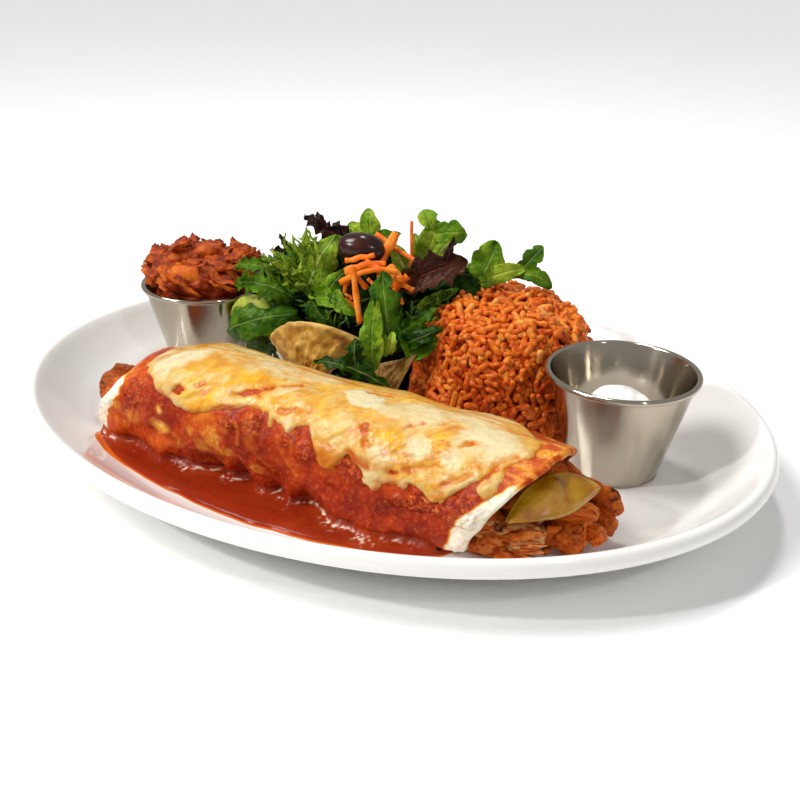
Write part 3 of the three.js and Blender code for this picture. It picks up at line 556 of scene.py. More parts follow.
def capsule(x, degrees, x0, degrees0, x1, degrees1, thinner=0.0):
    ax, ay = x - x0, (degrees - degrees0) * mmPerDegree
    bx, by = x1 - x0, (degrees1 - degrees0) * mmPerDegree
    t = np.clip((ax * bx + ay * by) / max(bx * bx + by * by, 1e-6), 0, 1)
    return np.hypot(ax - bx * t, ay - by * t) + thinner * (2 * t - 1) ** 2


# height of the sauced skin over the plain tube, with the masks that colour it
def skinRelief(x, degrees):
    fold, fine, spot = makeNoise(61), makeNoise(62), makeNoise(63)
    d = degrees * mmPerDegree
    flank = smooth(146, 168, degrees) * smooth(232, 214, degrees)
    run = np.zeros_like(x + degrees)
    runMask = np.zeros_like(run)
    for x0, d0, x1, d1, radius, height in skin["runs"]:
        far = capsule(x, degrees, x0, d0, x1, d1) + 0.35 * spot(x / 2.5, d / 2.5, 8)
        near = np.clip(1 - far / radius, 0, 1)
        run = np.maximum(run, height * np.sqrt(1 - (1 - near) ** 2))
        runMask = np.maximum(runMask, smooth(-0.1, 1.0, near) * (0.75 + 0.5 * spot(x / 1.8, d / 1.8, 3)))
    bare = np.zeros_like(run)
    for x0, d0, radius, strength in skin["bare"]:
        wobble = 1 + 0.5 * spot(x / 3, d / 3, radius)
        far = np.hypot(x - x0, (degrees - d0) * mmPerDegree) * wobble
        bare = np.maximum(bare, strength * smooth(radius * 1.25, radius * 0.15, far))
    pulp = np.zeros_like(run)
    for x0, d0, radiusX, radiusD in skin["pulp"]:
        far = np.hypot((x - x0) / radiusX, (degrees - d0) * mmPerDegree / radiusD)
        pulp = np.maximum(pulp, smooth(1.25, 0.5, far + 0.35 * spot(x / 2.6, d / 2.6, 4)))
    crease = 1 - np.abs(fold(x / 7.5 + d / 26, d / 40, 2)) * 2
    slope = 1 - np.abs(fold(x / 11 - d / 15, d / 34, 7)) * 2
    relief = 1.0 * flank * layered(fold, x / 12, d / 11, 0, 2) + 0.55 * flank * np.clip(crease, 0, 1) ** 3
    relief = relief + 0.5 * flank * np.clip(slope, 0, 1) ** 4
    grain = fine(x / 1.5, d / 1.2, 1) + 0.6 * fine(x / 0.9, d / 0.8, 5)
    relief = relief + run + pulp * (0.15 + 0.34 * grain) + 0.1 * layered(fine, x / 2.6, d / 2.2, 3, 2)
    relief = (relief + curveThrough(skin["shore"], x) * smooth(192, 214, degrees) * smooth(262, 240,
        degrees))
    return relief, {"bare": bare, "pulp": pulp, "run": runMask}


def rowAngles():
    # close rows on the front and top, where the detail shows
    spread = [(-35.5, 20, 12), (20, 60, 14), (60, 118, 22), (118, 215, 112), (215, 324.5, 24)]
    return np.concatenate([np.linspace(a, b, n, endpoint=False) for a, b, n in spread])


def flourTortilla():
    # griddled flour dough soaked in chile sauce: red where the sauce is thick, orange to yellow where it is
    # thin, and bare dough at the lips. The oil in the sauce gives it a wet gloss.
    material, tree, shader, place, layers = newMaterial("sauced flour tortilla",
        {"IOR": 1.4, "Specular IOR Level": 0.16, "Subsurface Weight": 0.1, "Subsurface Scale": 0.002,
        "Subsurface Radius": (1.0, 0.35, 0.15), "Coat Roughness": 0.1},
        ("bare", "pulp", "run", "dough", "shade", "inside"))
    mottle = addNode(tree, "TexNoise", {"Scale": perMm(13), "Detail": 6.0, "Roughness": 0.62,
        "Vector": place})
    lifted = addNode(tree, "Math", {"operation": "MULTIPLY_ADD", 1: 0.2, 0: layers["bare"], 2: mottle})
    # the shade layer darkens the sauce colour here: painted shade
    shadedTone = addNode(tree, "Math", {"operation": "MULTIPLY_ADD", 1: -0.13, 0: layers["shade"], 2: lifted})
    sauce = addNode(tree, "ValToRGB",
        {"stops": [(0.3, "7c1806"), (0.44, "9c270a"), (0.53, "b5390e"), (0.62, "cc5514"),
        (0.72, "e48624"), (0.85, "eead3c")], "Fac": shadedTone})
    fleck = addNode(tree, "TexNoise", {"Scale": perMm(1.7), "Detail": 4.0, "Roughness": 0.72,
        "Vector": place})
    # pulp specks in their own colours; the palest stop gives near-white specks that are painted glints on
    # the wet pulp
    pulpAndPaintedGlints = addNode(tree, "ValToRGB",
        {"stops": [(0.4, "6d1407"), (0.52, "b53a10"), (0.6, "de6a1c"), (0.67, "f6b650"),
        (0.73, "ffe8c4")], "Fac": fleck})
    share = addNode(tree, "MapRange", {"To Min": 0.2, "To Max": 0.72, "Value": layers["pulp"]})
    color = addNode(tree, "MixRGB", {"Fac": share, "Color1": sauce, "Color2": pulpAndPaintedGlints})
    runShare = addNode(tree, "Math", {"operation": "MULTIPLY", 1: 0.5, 0: layers["run"]})
    lobes = addNode(tree, "MixRGB", {"Color2": linearColor("d97420"), "Color1": color, "Fac": runShare})
    thin = addNode(tree, "ValToRGB", {"stops": [(0.35, "de7a18"), (0.5, "f0ac34"), (0.62, "f8d780")],
        "Fac": fleck})
    spots = addNode(tree, "MixRGB", {"Fac": layers["bare"], "Color1": lobes, "Color2": thin})
    crumb = addNode(tree, "TexNoise", {"Scale": perMm(2.2), "Detail": 4.0, "Vector": place})
    dough = addNode(tree, "ValToRGB", {"stops": [(0.3, "e8cfa0"), (0.46, "f8eed6"), (0.7, "fffaf0")],
        "Fac": crumb})
    stain = addNode(tree, "ValToRGB",
        {"stops": [(0.0, "c04414"), (0.35, "ec9a34"), (0.65, "f6d690"), (1.0, "fff6e2")],
        "Fac": layers["dough"]})
    clean = addNode(tree, "MapRange", {"From Min": 0.5, "From Max": 1.0, "Value": layers["dough"]})
    doughy = addNode(tree, "MixRGB", {"Fac": clean, "Color1": stain, "Color2": dough})
    edge = addNode(tree, "MapRange", {"From Max": 0.3, "Value": layers["dough"]})
    lips = addNode(tree, "MixRGB", {"Fac": edge, "Color1": spots, "Color2": doughy})
    # the roll's inner wall is painted dark brown: painted shade inside the roll
    inner = addNode(tree, "MixRGB", {"Color2": linearColor("5a1e0d"), "Fac": layers["inside"],
        "Color1": lips})
    rough = addNode(tree, "MapRange", {"To Min": 0.2, "To Max": 0.75, "Value": layers["dough"]})
    wet = addNode(tree, "Math", {"operation": "MULTIPLY_ADD", 1: -0.12, 0: layers["pulp"], 2: rough})
    pulpBump = addNode(tree, "TexNoise", {"Scale": perMm(1.5), "Detail": 2.0, "Vector": place})
    pulpHeight = addNode(tree, "Math", {"operation": "MULTIPLY", 0: pulpBump, 1: layers["pulp"]})
    height = addNode(tree, "Math", {"operation": "MULTIPLY_ADD", 1: 0.22, 0: fleck, 2: pulpHeight})
    relief = addNode(tree, "Bump", {"Strength": 1.0, "Distance": 0.0016, "Height": height})
    oily = addNode(tree, "MapRange", {"To Min": 0.08, "To Max": 0.25, "Value": layers["pulp"]})
    dry = addNode(tree, "Math", {"operation": "SUBTRACT", "use_clamp": True, 0: oily, 1: layers["dough"]})
    fillNode(tree, shader, {"Base Color": inner, "Roughness": wet, "Normal": relief,
        "Coat Normal": relief, "Coat Weight": dry})
    return material


def makeTortilla():
    degrees = rowAngles()[None, :]
    wobble, ragged = makeNoise(64), makeNoise(65)
    left, right = tubeEnds(degrees, -0.3)
    left = left + 1.5 + 0.5 * wobble(degrees / 14, 1)
    right = right - 1.5 + 0.5 * wobble(degrees / 14, 2)
    u = np.linspace(0, 1, burrito["stations"])[:, None]
    u = u - 0.018 * np.sin(2 * np.pi * u)  # closer stations toward both ends
    x = left + (right - left) * u
    relief, layers = skinRelief(x, degrees)
    d = degrees * mmPerDegree
    fromRight, fromLeft = right - x, x - left
    thick = smooth(150, 172, degrees) * smooth(240, 222, degrees)
    bareRight = mixed(0.8, 6.4, smooth(138, 176, degrees)) + 0.9 * ragged(degrees / 9, 3)
    bareRight = bareRight + 0.7 * ragged(x / 3, d / 2.4, 1)
    bareLeft = mixed(0.6, 4.6, smooth(122, 165, degrees)) + 0.7 * ragged(degrees / 9, 5)
    bareLeft = bareLeft + 0.6 * ragged(x / 3, d / 2.4, 2)
    doughRight = smooth(1.2, -1.0, fromRight - bareRight) * smooth(126, 144, degrees)
    doughLeft = smooth(1.2, -1.0, fromLeft - bareLeft) * smooth(124, 146, degrees)
    dough = np.maximum(doughRight, doughLeft)
    ends = smooth(0, 7, fromRight) * smooth(0, 7, fromLeft)
    roll = 0.8 * thick * bump(fromRight - 2.4, 2.6) + 0.5 * bump(fromLeft - 2.2, 2.4)
    offset = -0.3 + relief * (0.25 + 0.75 * ends) + roll * (1 + 0.3 * ragged(x / 1.4, d / 2))
    # painted shade: darker on the lower front of the roll and low on its right half; below zero it lightens
    # the skin near the left end
    shade = smooth(176, 204, degrees) * smooth(-70, -10, x) * (0.6 + 0.5 * ragged(x / 9, d / 9))
    shade = np.clip(shade + 0.3 * smooth(2, 30, x) * smooth(165, 185, degrees), 0, 0.85)
    shade = shade - 0.7 * smooth(-68, -95, x)
    # browned and mottled where the top runs out to the right lip
    patchy = smooth(-0.5, 0.7, layered(ragged, x / 4.5, d / 2.6, 8, 3))
    layers["bare"] = np.maximum(layers["bare"], 0.7 * smooth(17, 4, fromRight) * smooth(150, 124,
        degrees) * patchy)
    outer = tubePoint(x, np.broadcast_to(degrees, x.shape), offset)
    half = burrito["wall"] / 2
    turns = np.radians(np.linspace(72, -72, burrito["lipTurns"]))[:, None]

    def lip(edge, side, edgeOffset):
        out = edge + side * 1.5 * np.cos(turns)
        return tubePoint(out, np.broadcast_to(degrees, out.shape), edgeOffset - half
            + half * np.sin(turns))
    rightLip = lip(right, 1, offset[-1:])
    leftLip = lip(left, -1, offset[:1])[::-1]
    v = np.linspace(1, 0, burrito["innerStations"])[:, None]
    innerX = left + (right - left) * v
    innerOffset = -0.3 - burrito["wall"] + 0.35 * ragged(innerX / 3, d / 3)
    inner = tubePoint(innerX, np.broadcast_to(degrees, innerX.shape), innerOffset)
    rings = np.concatenate([outer, rightLip, inner, leftLip])
    rows, columns = rings.shape[:2]

    def spread(outerValue, lipValue, innerValue):
        return np.concatenate([np.broadcast_to(outerValue, x.shape),
            np.full(rightLip.shape[:2], lipValue), np.full(inner.shape[:2], innerValue),
            np.full(leftLip.shape[:2], lipValue)])
    browned = 0.3 * smooth(-0.4, 0.5, ragged(d / 1.6, 9, 3))
    doughAll = np.concatenate([dough, np.broadcast_to(np.maximum(smooth(128, 146, degrees), browned),
        rightLip.shape[:2]), np.zeros(inner.shape[:2]), np.broadcast_to(smooth(120, 140, degrees),
        leftLip.shape[:2])])
    makePiece("burritoTortilla", rings, [gridFaces(rows, columns, wrapRows=True, wrapColumns=True)],
        flourTortilla(), ("tortilla",),
        {"bare": spread(layers["bare"], 0, 0), "pulp": spread(layers["pulp"], 0, 0),
        "run": spread(layers["run"], 0, 0), "dough": doughAll, "shade": spread(shade, 0, 0),
        "inside": spread(0, 0, 1)})


makeTortilla()


# Cheese: a blend of white and yellow cheese melted over the top, drips along its front edge

cheese = {
    "stations": 218, "rows": 120,
    # edge of the melt: x, degrees
    "front": [(-77, 120), (-75.5, 127), (-71, 134), (-66.5, 145), (-61, 151), (-53, 157), (-48, 160.5),
        (-43, 158), (-37, 152.5), (-30, 146.5), (-24, 141), (-19, 137), (-14, 139), (-10, 146), (-7, 143),
        (-3.5, 146), (0.5, 151), (3.5, 141), (8.5, 140), (11, 148), (14.5, 161), (19, 167), (23, 162),
        (27, 152), (30, 156), (35, 164), (38, 169.5), (44, 167), (51, 161), (58, 161.5), (63, 164.5),
        (67, 161.5), (70, 156), (73, 149), (77, 140), (81, 131), (85, 122), (88, 113), (92.5, 103)],
    "back": [(-78, 100), (-76, 78), (-71, 56), (-56, 42), (-30, 54), (-12, 40), (6, 49), (24, 38),
        (44, 48), (62, 40), (78, 54), (90, 80), (92.5, 88)],
    "left": -78.5, "right": 90.8,
    # tongues below the edge and loose islands: x0, degrees0, x1, degrees1, radius
    "tongues": [(17.5, 144, 19, 159, 5.4), (-9, 140, -9, 146, 2.0), (39, 150, 38, 167, 4.0),
        (83, 134, 80, 147, 2.7), (58, 150, 63.5, 163, 3.4), (52, 150, 50, 160, 2.4)],
    # gaps that show the red skin: x0, degrees0, x1, degrees1, radius
    "holes": [(-28, 131, -15, 117, 1.6), (-56.5, 145, -51.5, 141, 1.9), (4.5, 147, 7, 144, 2.4),
        (43, 158, 48, 154, 1.0)],
    # thin places where orange oil and sauce show through: x0, degrees0, x1, degrees1, radius
    "thin": [(30, 126, 33, 140, 2.2), (-6, 135, 6, 127, 1.6), (50, 150, 60, 141, 2.0),
        (66, 152, 74, 138, 2.2), (-14, 113, -4, 103, 1.3), (27, 150, 36, 158, 2.4),
        (-34, 150, -26, 142, 1.8), (20, 84, 34, 78, 1.2), (44, 118, 50, 108, 1.4),
        (64, 122, 70, 112, 1.2), (80, 128, 86, 112, 2.0)],
    # thick pale slabs of white cheese: x, degrees, radius along, radius across, turn, height
    "slabs": [(-61, 108, 15, 6.4, -36, 0.9), (22, 95, 9.8, 5.8, 14, 1.5), (74, 104, 13, 10, 0, 0.7),
        (47, 98, 14, 7, 8, 0.5), (-66, 128, 6, 4, 30, 0.5), (52, 130, 6, 5, 60, 0.55),
        (64, 84, 13, 6, 0, 0.5), (-20, 84, 12, 5, 0, 0.35), (40, 146, 6, 4, 0, 0.45),
        (0, 78, 11, 5, 0, 0.45), (66, 130, 6, 5, 60, 0.5), (-8, 112, 8, 3, -40, 0.4),
        (36, 104, 5, 5, 0, 0.4)],
    # yellow cheese: x, degrees, radius along, radius across, turn
    "yellow": [(-47, 148, 9, 4.6, 20), (-40, 138, 13, 6, -20), (-24, 108, 14, 5, 40), (8, 118, 12, 6, 0),
        (18, 155, 9, 9, 0), (12, 132, 9, 6, -30), (42, 128, 5, 11, -20), (58, 106, 5, 8, -30),
        (58, 118, 6, 9, -30), (62, 142, 4, 8, 0), (68, 92, 5, 6, 0), (4, 98, 8, 4, 30),
        (-55, 93, 12, 4, 30), (36, 116, 6, 5, 0), (-8, 126, 8, 5, 0), (57, 83, 8, 4, 0),
        (40, 124, 5, 5, 0), (51.5, 125, 5, 5, 30), (67, 131, 6, 4, 20), (51, 113, 5, 4, 0),
        (-44, 132, 12, 6, 0)],
}


def turnedDistance(x, degrees, x0, degrees0, radiusX, radiusD, turn):
    ax, ay = x - x0, (degrees - degrees0) * mmPerDegree
    c, s = math.cos(math.radians(turn)), math.sin(math.radians(turn))
    return np.hypot((ax * c + ay * s) / radiusX, (ay * c - ax * s) / radiusD)


# distance in from the melt's edge in mm, below zero outside it
def cheeseField(x, degrees):
    edge, drift = makeNoise(21), makeNoise(22)
    d = degrees * mmPerDegree
    field = np.minimum((curveThrough(cheese["front"], x) - degrees) * mmPerDegree,
        (degrees - curveThrough(cheese["back"], x)) * mmPerDegree)
    field = np.minimum(field, np.minimum(x - cheese["left"], cheese["right"] - x))
    for x0, d0, x1, d1, radius in cheese["tongues"]:
        field = np.maximum(field, radius - capsule(x, degrees, x0, d0, x1, d1))
    for x0, d0, x1, d1, radius in cheese["holes"]:
        far = capsule(x, degrees, x0, d0, x1, d1, 1.1 * radius) + 0.7 * edge(x / 2.2, d / 1.6, 5)
        field = np.minimum(field, far - radius)
    field = field + 0.7 * edge(x / 3.4, d / 3.0, 1) + 0.4 * edge(x / 1.6, d / 1.4, 3)
    pit = drift(x / 5 + d / 14, d / 9, 6)
    return field - 2.4 * smooth(0.66, 0.95, pit) * smooth(6, 3, field)


def meltedCheese():
    # white and yellow cheese melted together: fat on the surface gives a satin gloss, light goes in a few
    # millimetres, and thin places let the red sauce through
    material, tree, shader, place, layers = newMaterial("melted cheese blend",
        {"IOR": 1.45, "Specular IOR Level": 0.16, "Subsurface Weight": 0.12, "Subsurface Scale": 0.003,
        "Subsurface Radius": (1.0, 0.8, 0.35), "Coat Roughness": 0.06},
        ("thick", "yellow", "strand", "grease", "slab"))
    pale = addNode(tree, "TexNoise", {"Scale": perMm(8), "Detail": 6.0, "Roughness": 0.65,
        "Vector": place})
    white = addNode(tree, "ValToRGB",
        {"stops": [(0.3, "c28840"), (0.42, "d0a65c"), (0.54, "d8b978"), (0.7, "dec892")], "Fac": pale})
    gold = addNode(tree, "ValToRGB",
        {"stops": [(0.3, "cc7a12"), (0.44, "dc9a1e"), (0.56, "e6b02c"), (0.72, "e8c04a")], "Fac": pale})
    blend = addNode(tree, "MixRGB", {"Fac": layers["yellow"], "Color1": white, "Color2": gold})
    slabs = addNode(tree, "MixRGB", {"Color2": linearColor("e0cfa2"), "Fac": layers["slab"],
        "Color1": blend})
    strands = addNode(tree, "MixRGB", {"Color2": linearColor("c8781e"), "Fac": layers["strand"],
        "Color1": slabs})
    oily = addNode(tree, "MixRGB", {"Color2": linearColor("bc4e0a"), "Fac": layers["grease"],
        "Color1": strands})
    uneven = addNode(tree, "Math", {"operation": "MULTIPLY_ADD", 1: 0.6, 0: pale, 2: layers["thick"]})
    under = addNode(tree, "ValToRGB",
        {"stops": [(0.25, "9c3006"), (0.42, "c25c0a"), (0.6, "d68f24"), (0.85, "daac50")], "Fac": uneven})
    cover = addNode(tree, "MapRange", {"From Min": 0.48, "From Max": 0.92, "Value": uneven})
    color = addNode(tree, "MixRGB", {"Fac": cover, "Color1": under, "Color2": oily})
    wet = addNode(tree, "MapRange", {"From Max": 0.6, "To Min": 0.2, "To Max": 0.12,
        "Value": layers["grease"]})
    glossy = addNode(tree, "MapRange", {"To Min": 0.3, "To Max": 0.05, "Value": layers["grease"]})
    curd = addNode(tree, "TexNoise", {"Scale": perMm(2.8), "Detail": 4.0, "Vector": place})
    relief = addNode(tree, "Bump", {"Strength": 0.6, "Distance": 0.0012, "Height": curd})
    fillNode(tree, shader, {"Base Color": color, "Roughness": wet, "Coat Weight": glossy,
        "Normal": relief, "Coat Normal": relief})
    return material


def makeCheese():
    x = np.linspace(cheese["left"] - 1.5, cheese["right"] + 1.5, cheese["stations"])[:, None]
    v = np.linspace(0, 1, cheese["rows"])[None, :]
    start = curveThrough(cheese["back"], x) - 6
    end = np.maximum(curveThrough(cheese["front"], x), 150) + 9
    degrees = start + (end - start) * (v ** 0.8)
    x = np.broadcast_to(x, degrees.shape)
    d = degrees * mmPerDegree
    body, pull, soft = makeNoise(23), makeNoise(24), makeNoise(25)
    field = cheeseField(x, degrees)
    slab = np.zeros_like(field)
    for x0, d0, rx, rd, turn, height in cheese["slabs"]:
        far = turnedDistance(x, degrees, x0, d0, rx, rd, turn) + 0.2 * soft(x / 5, d / 5, x0)
        edges = (1.06, 0.76) if height > 1 else (1.3, 0.4)
        slab = np.maximum(slab, height * smooth(*edges, far + 0.12 * soft(x / 2, d / 2, 1 + x0)))
    # strands pulled along the ridge, and aslant from front left to back right on the front
    back = layered(pull, (x - 0.25 * d) / 15, (d + 0.25 * x) / 2.6, 2, 2)
    front = layered(pull, (x - 0.8 * d) / 13, (d + 0.8 * x) / 2.6, 5, 2)
    streak = mixed(back, front, smooth(88, 116, degrees))
    broad = layered(body, x / 13, d / 8, 12, 3)
    unslabbed = 1 - smooth(0.1, 0.5, slab)
    lumps = 0.28 * layered(body, x / 14, d / 10, 1, 2) + 0.06 * soft(x / 4.2, d / 3.6, 6)
    thin = np.zeros_like(field)
    for x0, d0, x1, d1, radius in cheese["thin"]:
        far = capsule(x, degrees, x0, d0, x1, d1) + 1.1 * soft(x / 2.4, d / 2.4, 4 + x0)
        thin = np.maximum(thin, smooth(radius, 0.2, far))
    full = 0.74 + lumps + 0.3 * slab + 0.22 * streak * unslabbed - 0.5 * thin
    dripping = smooth(128, 146, degrees)
    bead = 0.6 * smooth(8, 2.0, field) * dripping + 0.9 * bump(x - 18.5, 6) * bump(degrees - 158, 11)
    full = np.clip(full + bead * (1 + 0.4 * body(x / 7, 3, 3)), 0.2, 2.6)
    inside = np.clip(field / mixed(5.0, 2.6, dripping), 0, 1)
    thick = np.where(field > 0, full * np.sqrt(1 - (1 - inside) ** 2), np.maximum(field * 0.9, -1.1))
    lip = tubeEnds(degrees, -0.3)[1]
    relief = skinRelief(x, degrees)[0]
    fromEnd = np.minimum(1, smooth(0, 7, lip - x) + 0.25)
    lift = -0.3 + relief * fromEnd * mixed(1.0, 0.6, inside) + thick
    # what lies outside the melt stays under the skin and short of the lip
    x = np.minimum(x, lip - 4)
    top = tubePoint(x, degrees, lift)
    bottom = tubePoint(x, degrees, np.minimum(lift - 0.25, -0.9))
    yellow = np.zeros_like(field)
    for x0, d0, rx, rd, turn in cheese["yellow"]:
        far = turnedDistance(x, degrees, x0, d0, rx, rd, turn) + 0.5 * soft(x / 4, d / 4, x0 + 2)
        yellow = np.maximum(yellow, smooth(1.3, 0.2, far))
    yellow = (np.clip(yellow * 0.8 + 0.7 * smooth(0.0, 0.7, broad + 0.5 * streak), 0, 1)
        * (1 - smooth(0.1, 0.6, slab)))
    yellow = np.maximum(yellow, bump(x - 18, 8) * smooth(138, 152, degrees))
    line = np.clip(1 - np.abs(streak - 0.12) * 6, 0, 1) * smooth(-0.5, 0.4, soft(x / 9, d / 6, 3))
    rim = smooth(2.4, 0.2, field) * smooth(-0.5, 0.5, soft(x / 3.0, d / 3.0, 9))
    around = np.clip(slab * 8, 0, 1) * np.clip(1 - slab * 4, 0, 1)
    stain = (smooth(0.25, 0.75, layered(soft, x / 7, d / 5, 15, 3)) * smooth(20, 40, x) * smooth(122, 140,
        degrees))
    ridgeLine = smooth(88, 74, degrees) * smooth(0.0, 0.5, pull(x / 30, d / 1.5, 14))
    oilDrop = bump(x - 18.5, 7) * smooth(142, 158, degrees)
    grease = np.clip(0.6 * rim + 0.5 * stain + 0.35 * line * smooth(0.1, 0.6, broad) + 0.85 * thin
        + 0.7 * oilDrop, 0, 1)
    strand = np.clip(0.75 * line * unslabbed + 0.7 * ridgeLine + 0.5 * around, 0, 1)
    points, faces = sheetSolid(top, bottom)
    makePiece("burritoCheese", points, faces, meltedCheese(), ("cheese",),
        sheetLayers(field.shape, {"thick": np.clip(thick / 1.3, 0, 1), "yellow": yellow, "strand": strand,
        "grease": grease, "slab": np.clip(slab * 1.2, 0, 1)}))


makeCheese()
print("burrito and cheese done")


# Sauce pool: blended red chile sauce, level on the platter, with oil that gathers at its edge

pool = {
    "level": 7.3, "climb": 2.5,
    "edge": [(-103, -60), (-100, -69), (-92, -75), (-80, -79.5), (-62, -83.8), (-38, -88.2), (-14, -91.4),
        (12, -90.6), (34, -87.6), (48, -84.4), (58, -81), (64.5, -77), (68.5, -70)],
    "along": 340, "across": 52,
}


def waterline(x):
    # the tube's front wall at the sauce level
    degrees = np.linspace(178, 225, 60)[None, :]
    stations = np.broadcast_to(np.asarray(x)[:, None], (len(x), 60))
    wall = tubePoint(stations, degrees, -0.3 + skinRelief(stations, degrees)[0])
    near = np.argmin(np.abs(wall[..., 2] - pool["level"] - pool["climb"]), 1)
    return wall[np.arange(len(x)), near, 1]


def chileSauce():
    # cooked chile puree: opaque deep red with fine pulp and pepper specks, and a clear orange oil film
    # where it thins out on the glaze
    material, tree, shader, place, layers = newMaterial("red chile sauce",
        {"IOR": 1.36, "Roughness": 0.14, "Specular IOR Level": 0.16, "Coat Roughness": 0.08},
        ("depth", "froth", "bubbles"))
    stretch = addNode(tree, "Mapping", {"Scale": (0.5, 1.0, 1.0), "Rotation": (0, 0, math.radians(-8)),
        "Vector": place})
    drift = addNode(tree, "TexNoise", {"Scale": perMm(22), "Detail": 6.0, "Roughness": 0.6,
        "Distortion": 0.8, "Vector": stretch})
    body = addNode(tree, "ValToRGB",
        {"stops": [(0.3, "7c200b"), (0.5, "8c290e"), (0.64, "9a3513"), (0.8, "aa481a")], "Fac": drift})
    speck = addNode(tree, "TexVoronoi", {"Scale": perMm(4.5), "Vector": place})
    dark = addNode(tree, "MapRange", {"From Min": 0.05, "From Max": 0.09, "To Min": 0.75, "To Max": 0.0,
        "Value": speck})
    specked = addNode(tree, "MixRGB", {"Color2": linearColor("4a160b"), "Fac": dark, "Color1": body})
    film = addNode(tree, "ValToRGB",
        {"stops": [(0.0, "eec08a"), (0.05, "ea9a34"), (0.14, "d8681c"), (0.4, "a8340e")],
        "Fac": layers["depth"]})
    cover = addNode(tree, "MapRange", {"From Min": 0.2, "From Max": 0.5, "Value": layers["depth"]})
    deep = addNode(tree, "MixRGB", {"Fac": cover, "Color1": film, "Color2": specked})
    # a pale broken line along the burrito: painted highlight where the sauce meets the roll
    color = addNode(tree, "MixRGB", {"Color2": linearColor("f6dcc4"), "Fac": layers["bubbles"],
        "Color1": deep})
    pulp = addNode(tree, "TexNoise", {"Scale": perMm(1.2), "Detail": 2.0, "Vector": place})
    lumpy = addNode(tree, "MapRange", {"To Min": 0.05, "To Max": 0.35, "Value": layers["froth"]})
    raised = addNode(tree, "Math", {"operation": "MULTIPLY", 0: pulp, 1: lumpy})
    relief = addNode(tree, "Bump", {"Strength": 1.0, "Distance": 0.0012, "Height": raised})
    foam = addNode(tree, "Math", {"operation": "MULTIPLY", 1: 0.3, 0: layers["froth"]})
    fillNode(tree, shader, {"Base Color": color, "Normal": relief, "Coat Normal": relief,
        "Coat Weight": foam})
    return material


def makeSauce():
    edge = smoothLine(pool["edge"], 30)
    step = np.concatenate([[0], np.cumsum(np.hypot(*np.diff(edge, axis=0).T))])
    u = np.linspace(0, step[-1], pool["along"])
    ex, ey = np.interp(u, step, edge[:, 0]), np.interp(u, step, edge[:, 1])
    wobble, froth, fine = makeNoise(81), makeNoise(82), makeNoise(83)
    ey = ey + 0.5 * wobble(u / 9, 1)
    wall = waterline(ex)
    inner = np.maximum(wall + 1.2, ey + 1.2)
    v = np.linspace(0, 1, pool["across"])[None, :]
    share = mixed(v ** 1.6, 1 - (1 - v) ** 1.8, smooth(0.3, 0.7, v))
    x = np.broadcast_to(ex[:, None], (len(ex), pool["across"])).copy()
    y = ey[:, None] + (inner - ey)[:, None] * share
    fromEdge, fromWall = y - ey[:, None], wall[:, None] - y
    floor = np.maximum(coupeZ(x, y), 5.0)
    ends = smooth(0, 4, u)[:, None] * smooth(0, 4, (step[-1] - u))[:, None]
    climb = pool["climb"] + 0.5 * froth(x / 4, 1, 2) + 0.3 * fine(x / 1.2, 4, 2)
    curl = climb * np.exp(-np.clip(fromWall, -0.4, 20) / (1.2 + 0.5 * froth(x / 7, 3, 5)))
    broken = smooth(0.1, 0.5, froth(x / 5, y / 2.4, 4)) * bump(fromWall - 2.6, 1.8)
    ripple = 0.05 * wobble(x / 6, y / 6, 3) + broken * 0.3 * np.abs(fine(x / 0.9, y / 0.8, 1))
    level = pool["level"] + curl * smooth(0.6, 3, fromEdge) + ripple
    rounding = 1 - np.exp(-fromEdge / 1.3)
    z = floor + 0.25 + (np.maximum(level - floor - 0.25, 0.05)) * rounding * (0.15 + 0.85 * ends)
    top = np.stack([x, y, z], -1)
    bottom = np.stack([x, y, floor + 0.02], -1)
    depth = np.clip((z - floor) / 2.0, 0, 1)
    points, faces = sheetSolid(top, bottom)
    shore = bump(fromWall - 0.9, 1.1) * smooth(-0.5, 0.2, froth(x / 6, 2, 9))
    spread = fine(x / 1.1, y / 0.9, 6)
    # pale marks for the painted highlight: a broken line by the wall and spots near it
    line = bump(fromWall - 1.4 - 0.5 * froth(x / 5, 4, 1), 0.36) * smooth(-0.2, 0.3, froth(x / 3.4, 6, 2))
    spots = smooth(0.4, 0.7, spread) * bump(fromWall - 2.6, 1.8) * smooth(0.0, 0.4, froth(x / 6, 9, 3))
    bubbles = np.clip(line * smooth(-0.4, 0.2, spread) + 0.9 * spots, 0, 1)
    makePiece("saucePool", points, faces, chileSauce(), ("sauce_pool",),
        sheetLayers(x.shape, {"depth": depth, "froth": np.clip(0.5 * broken + shore, 0, 1),
        "bubbles": 0.9 * bubbles}))


makeSauce()
print("sauce done")


# Chicken: pulled and torn chunks, simmered in chile sauce and seared, so the fibres run along each
# piece, the torn ends are pale and the edges are charred

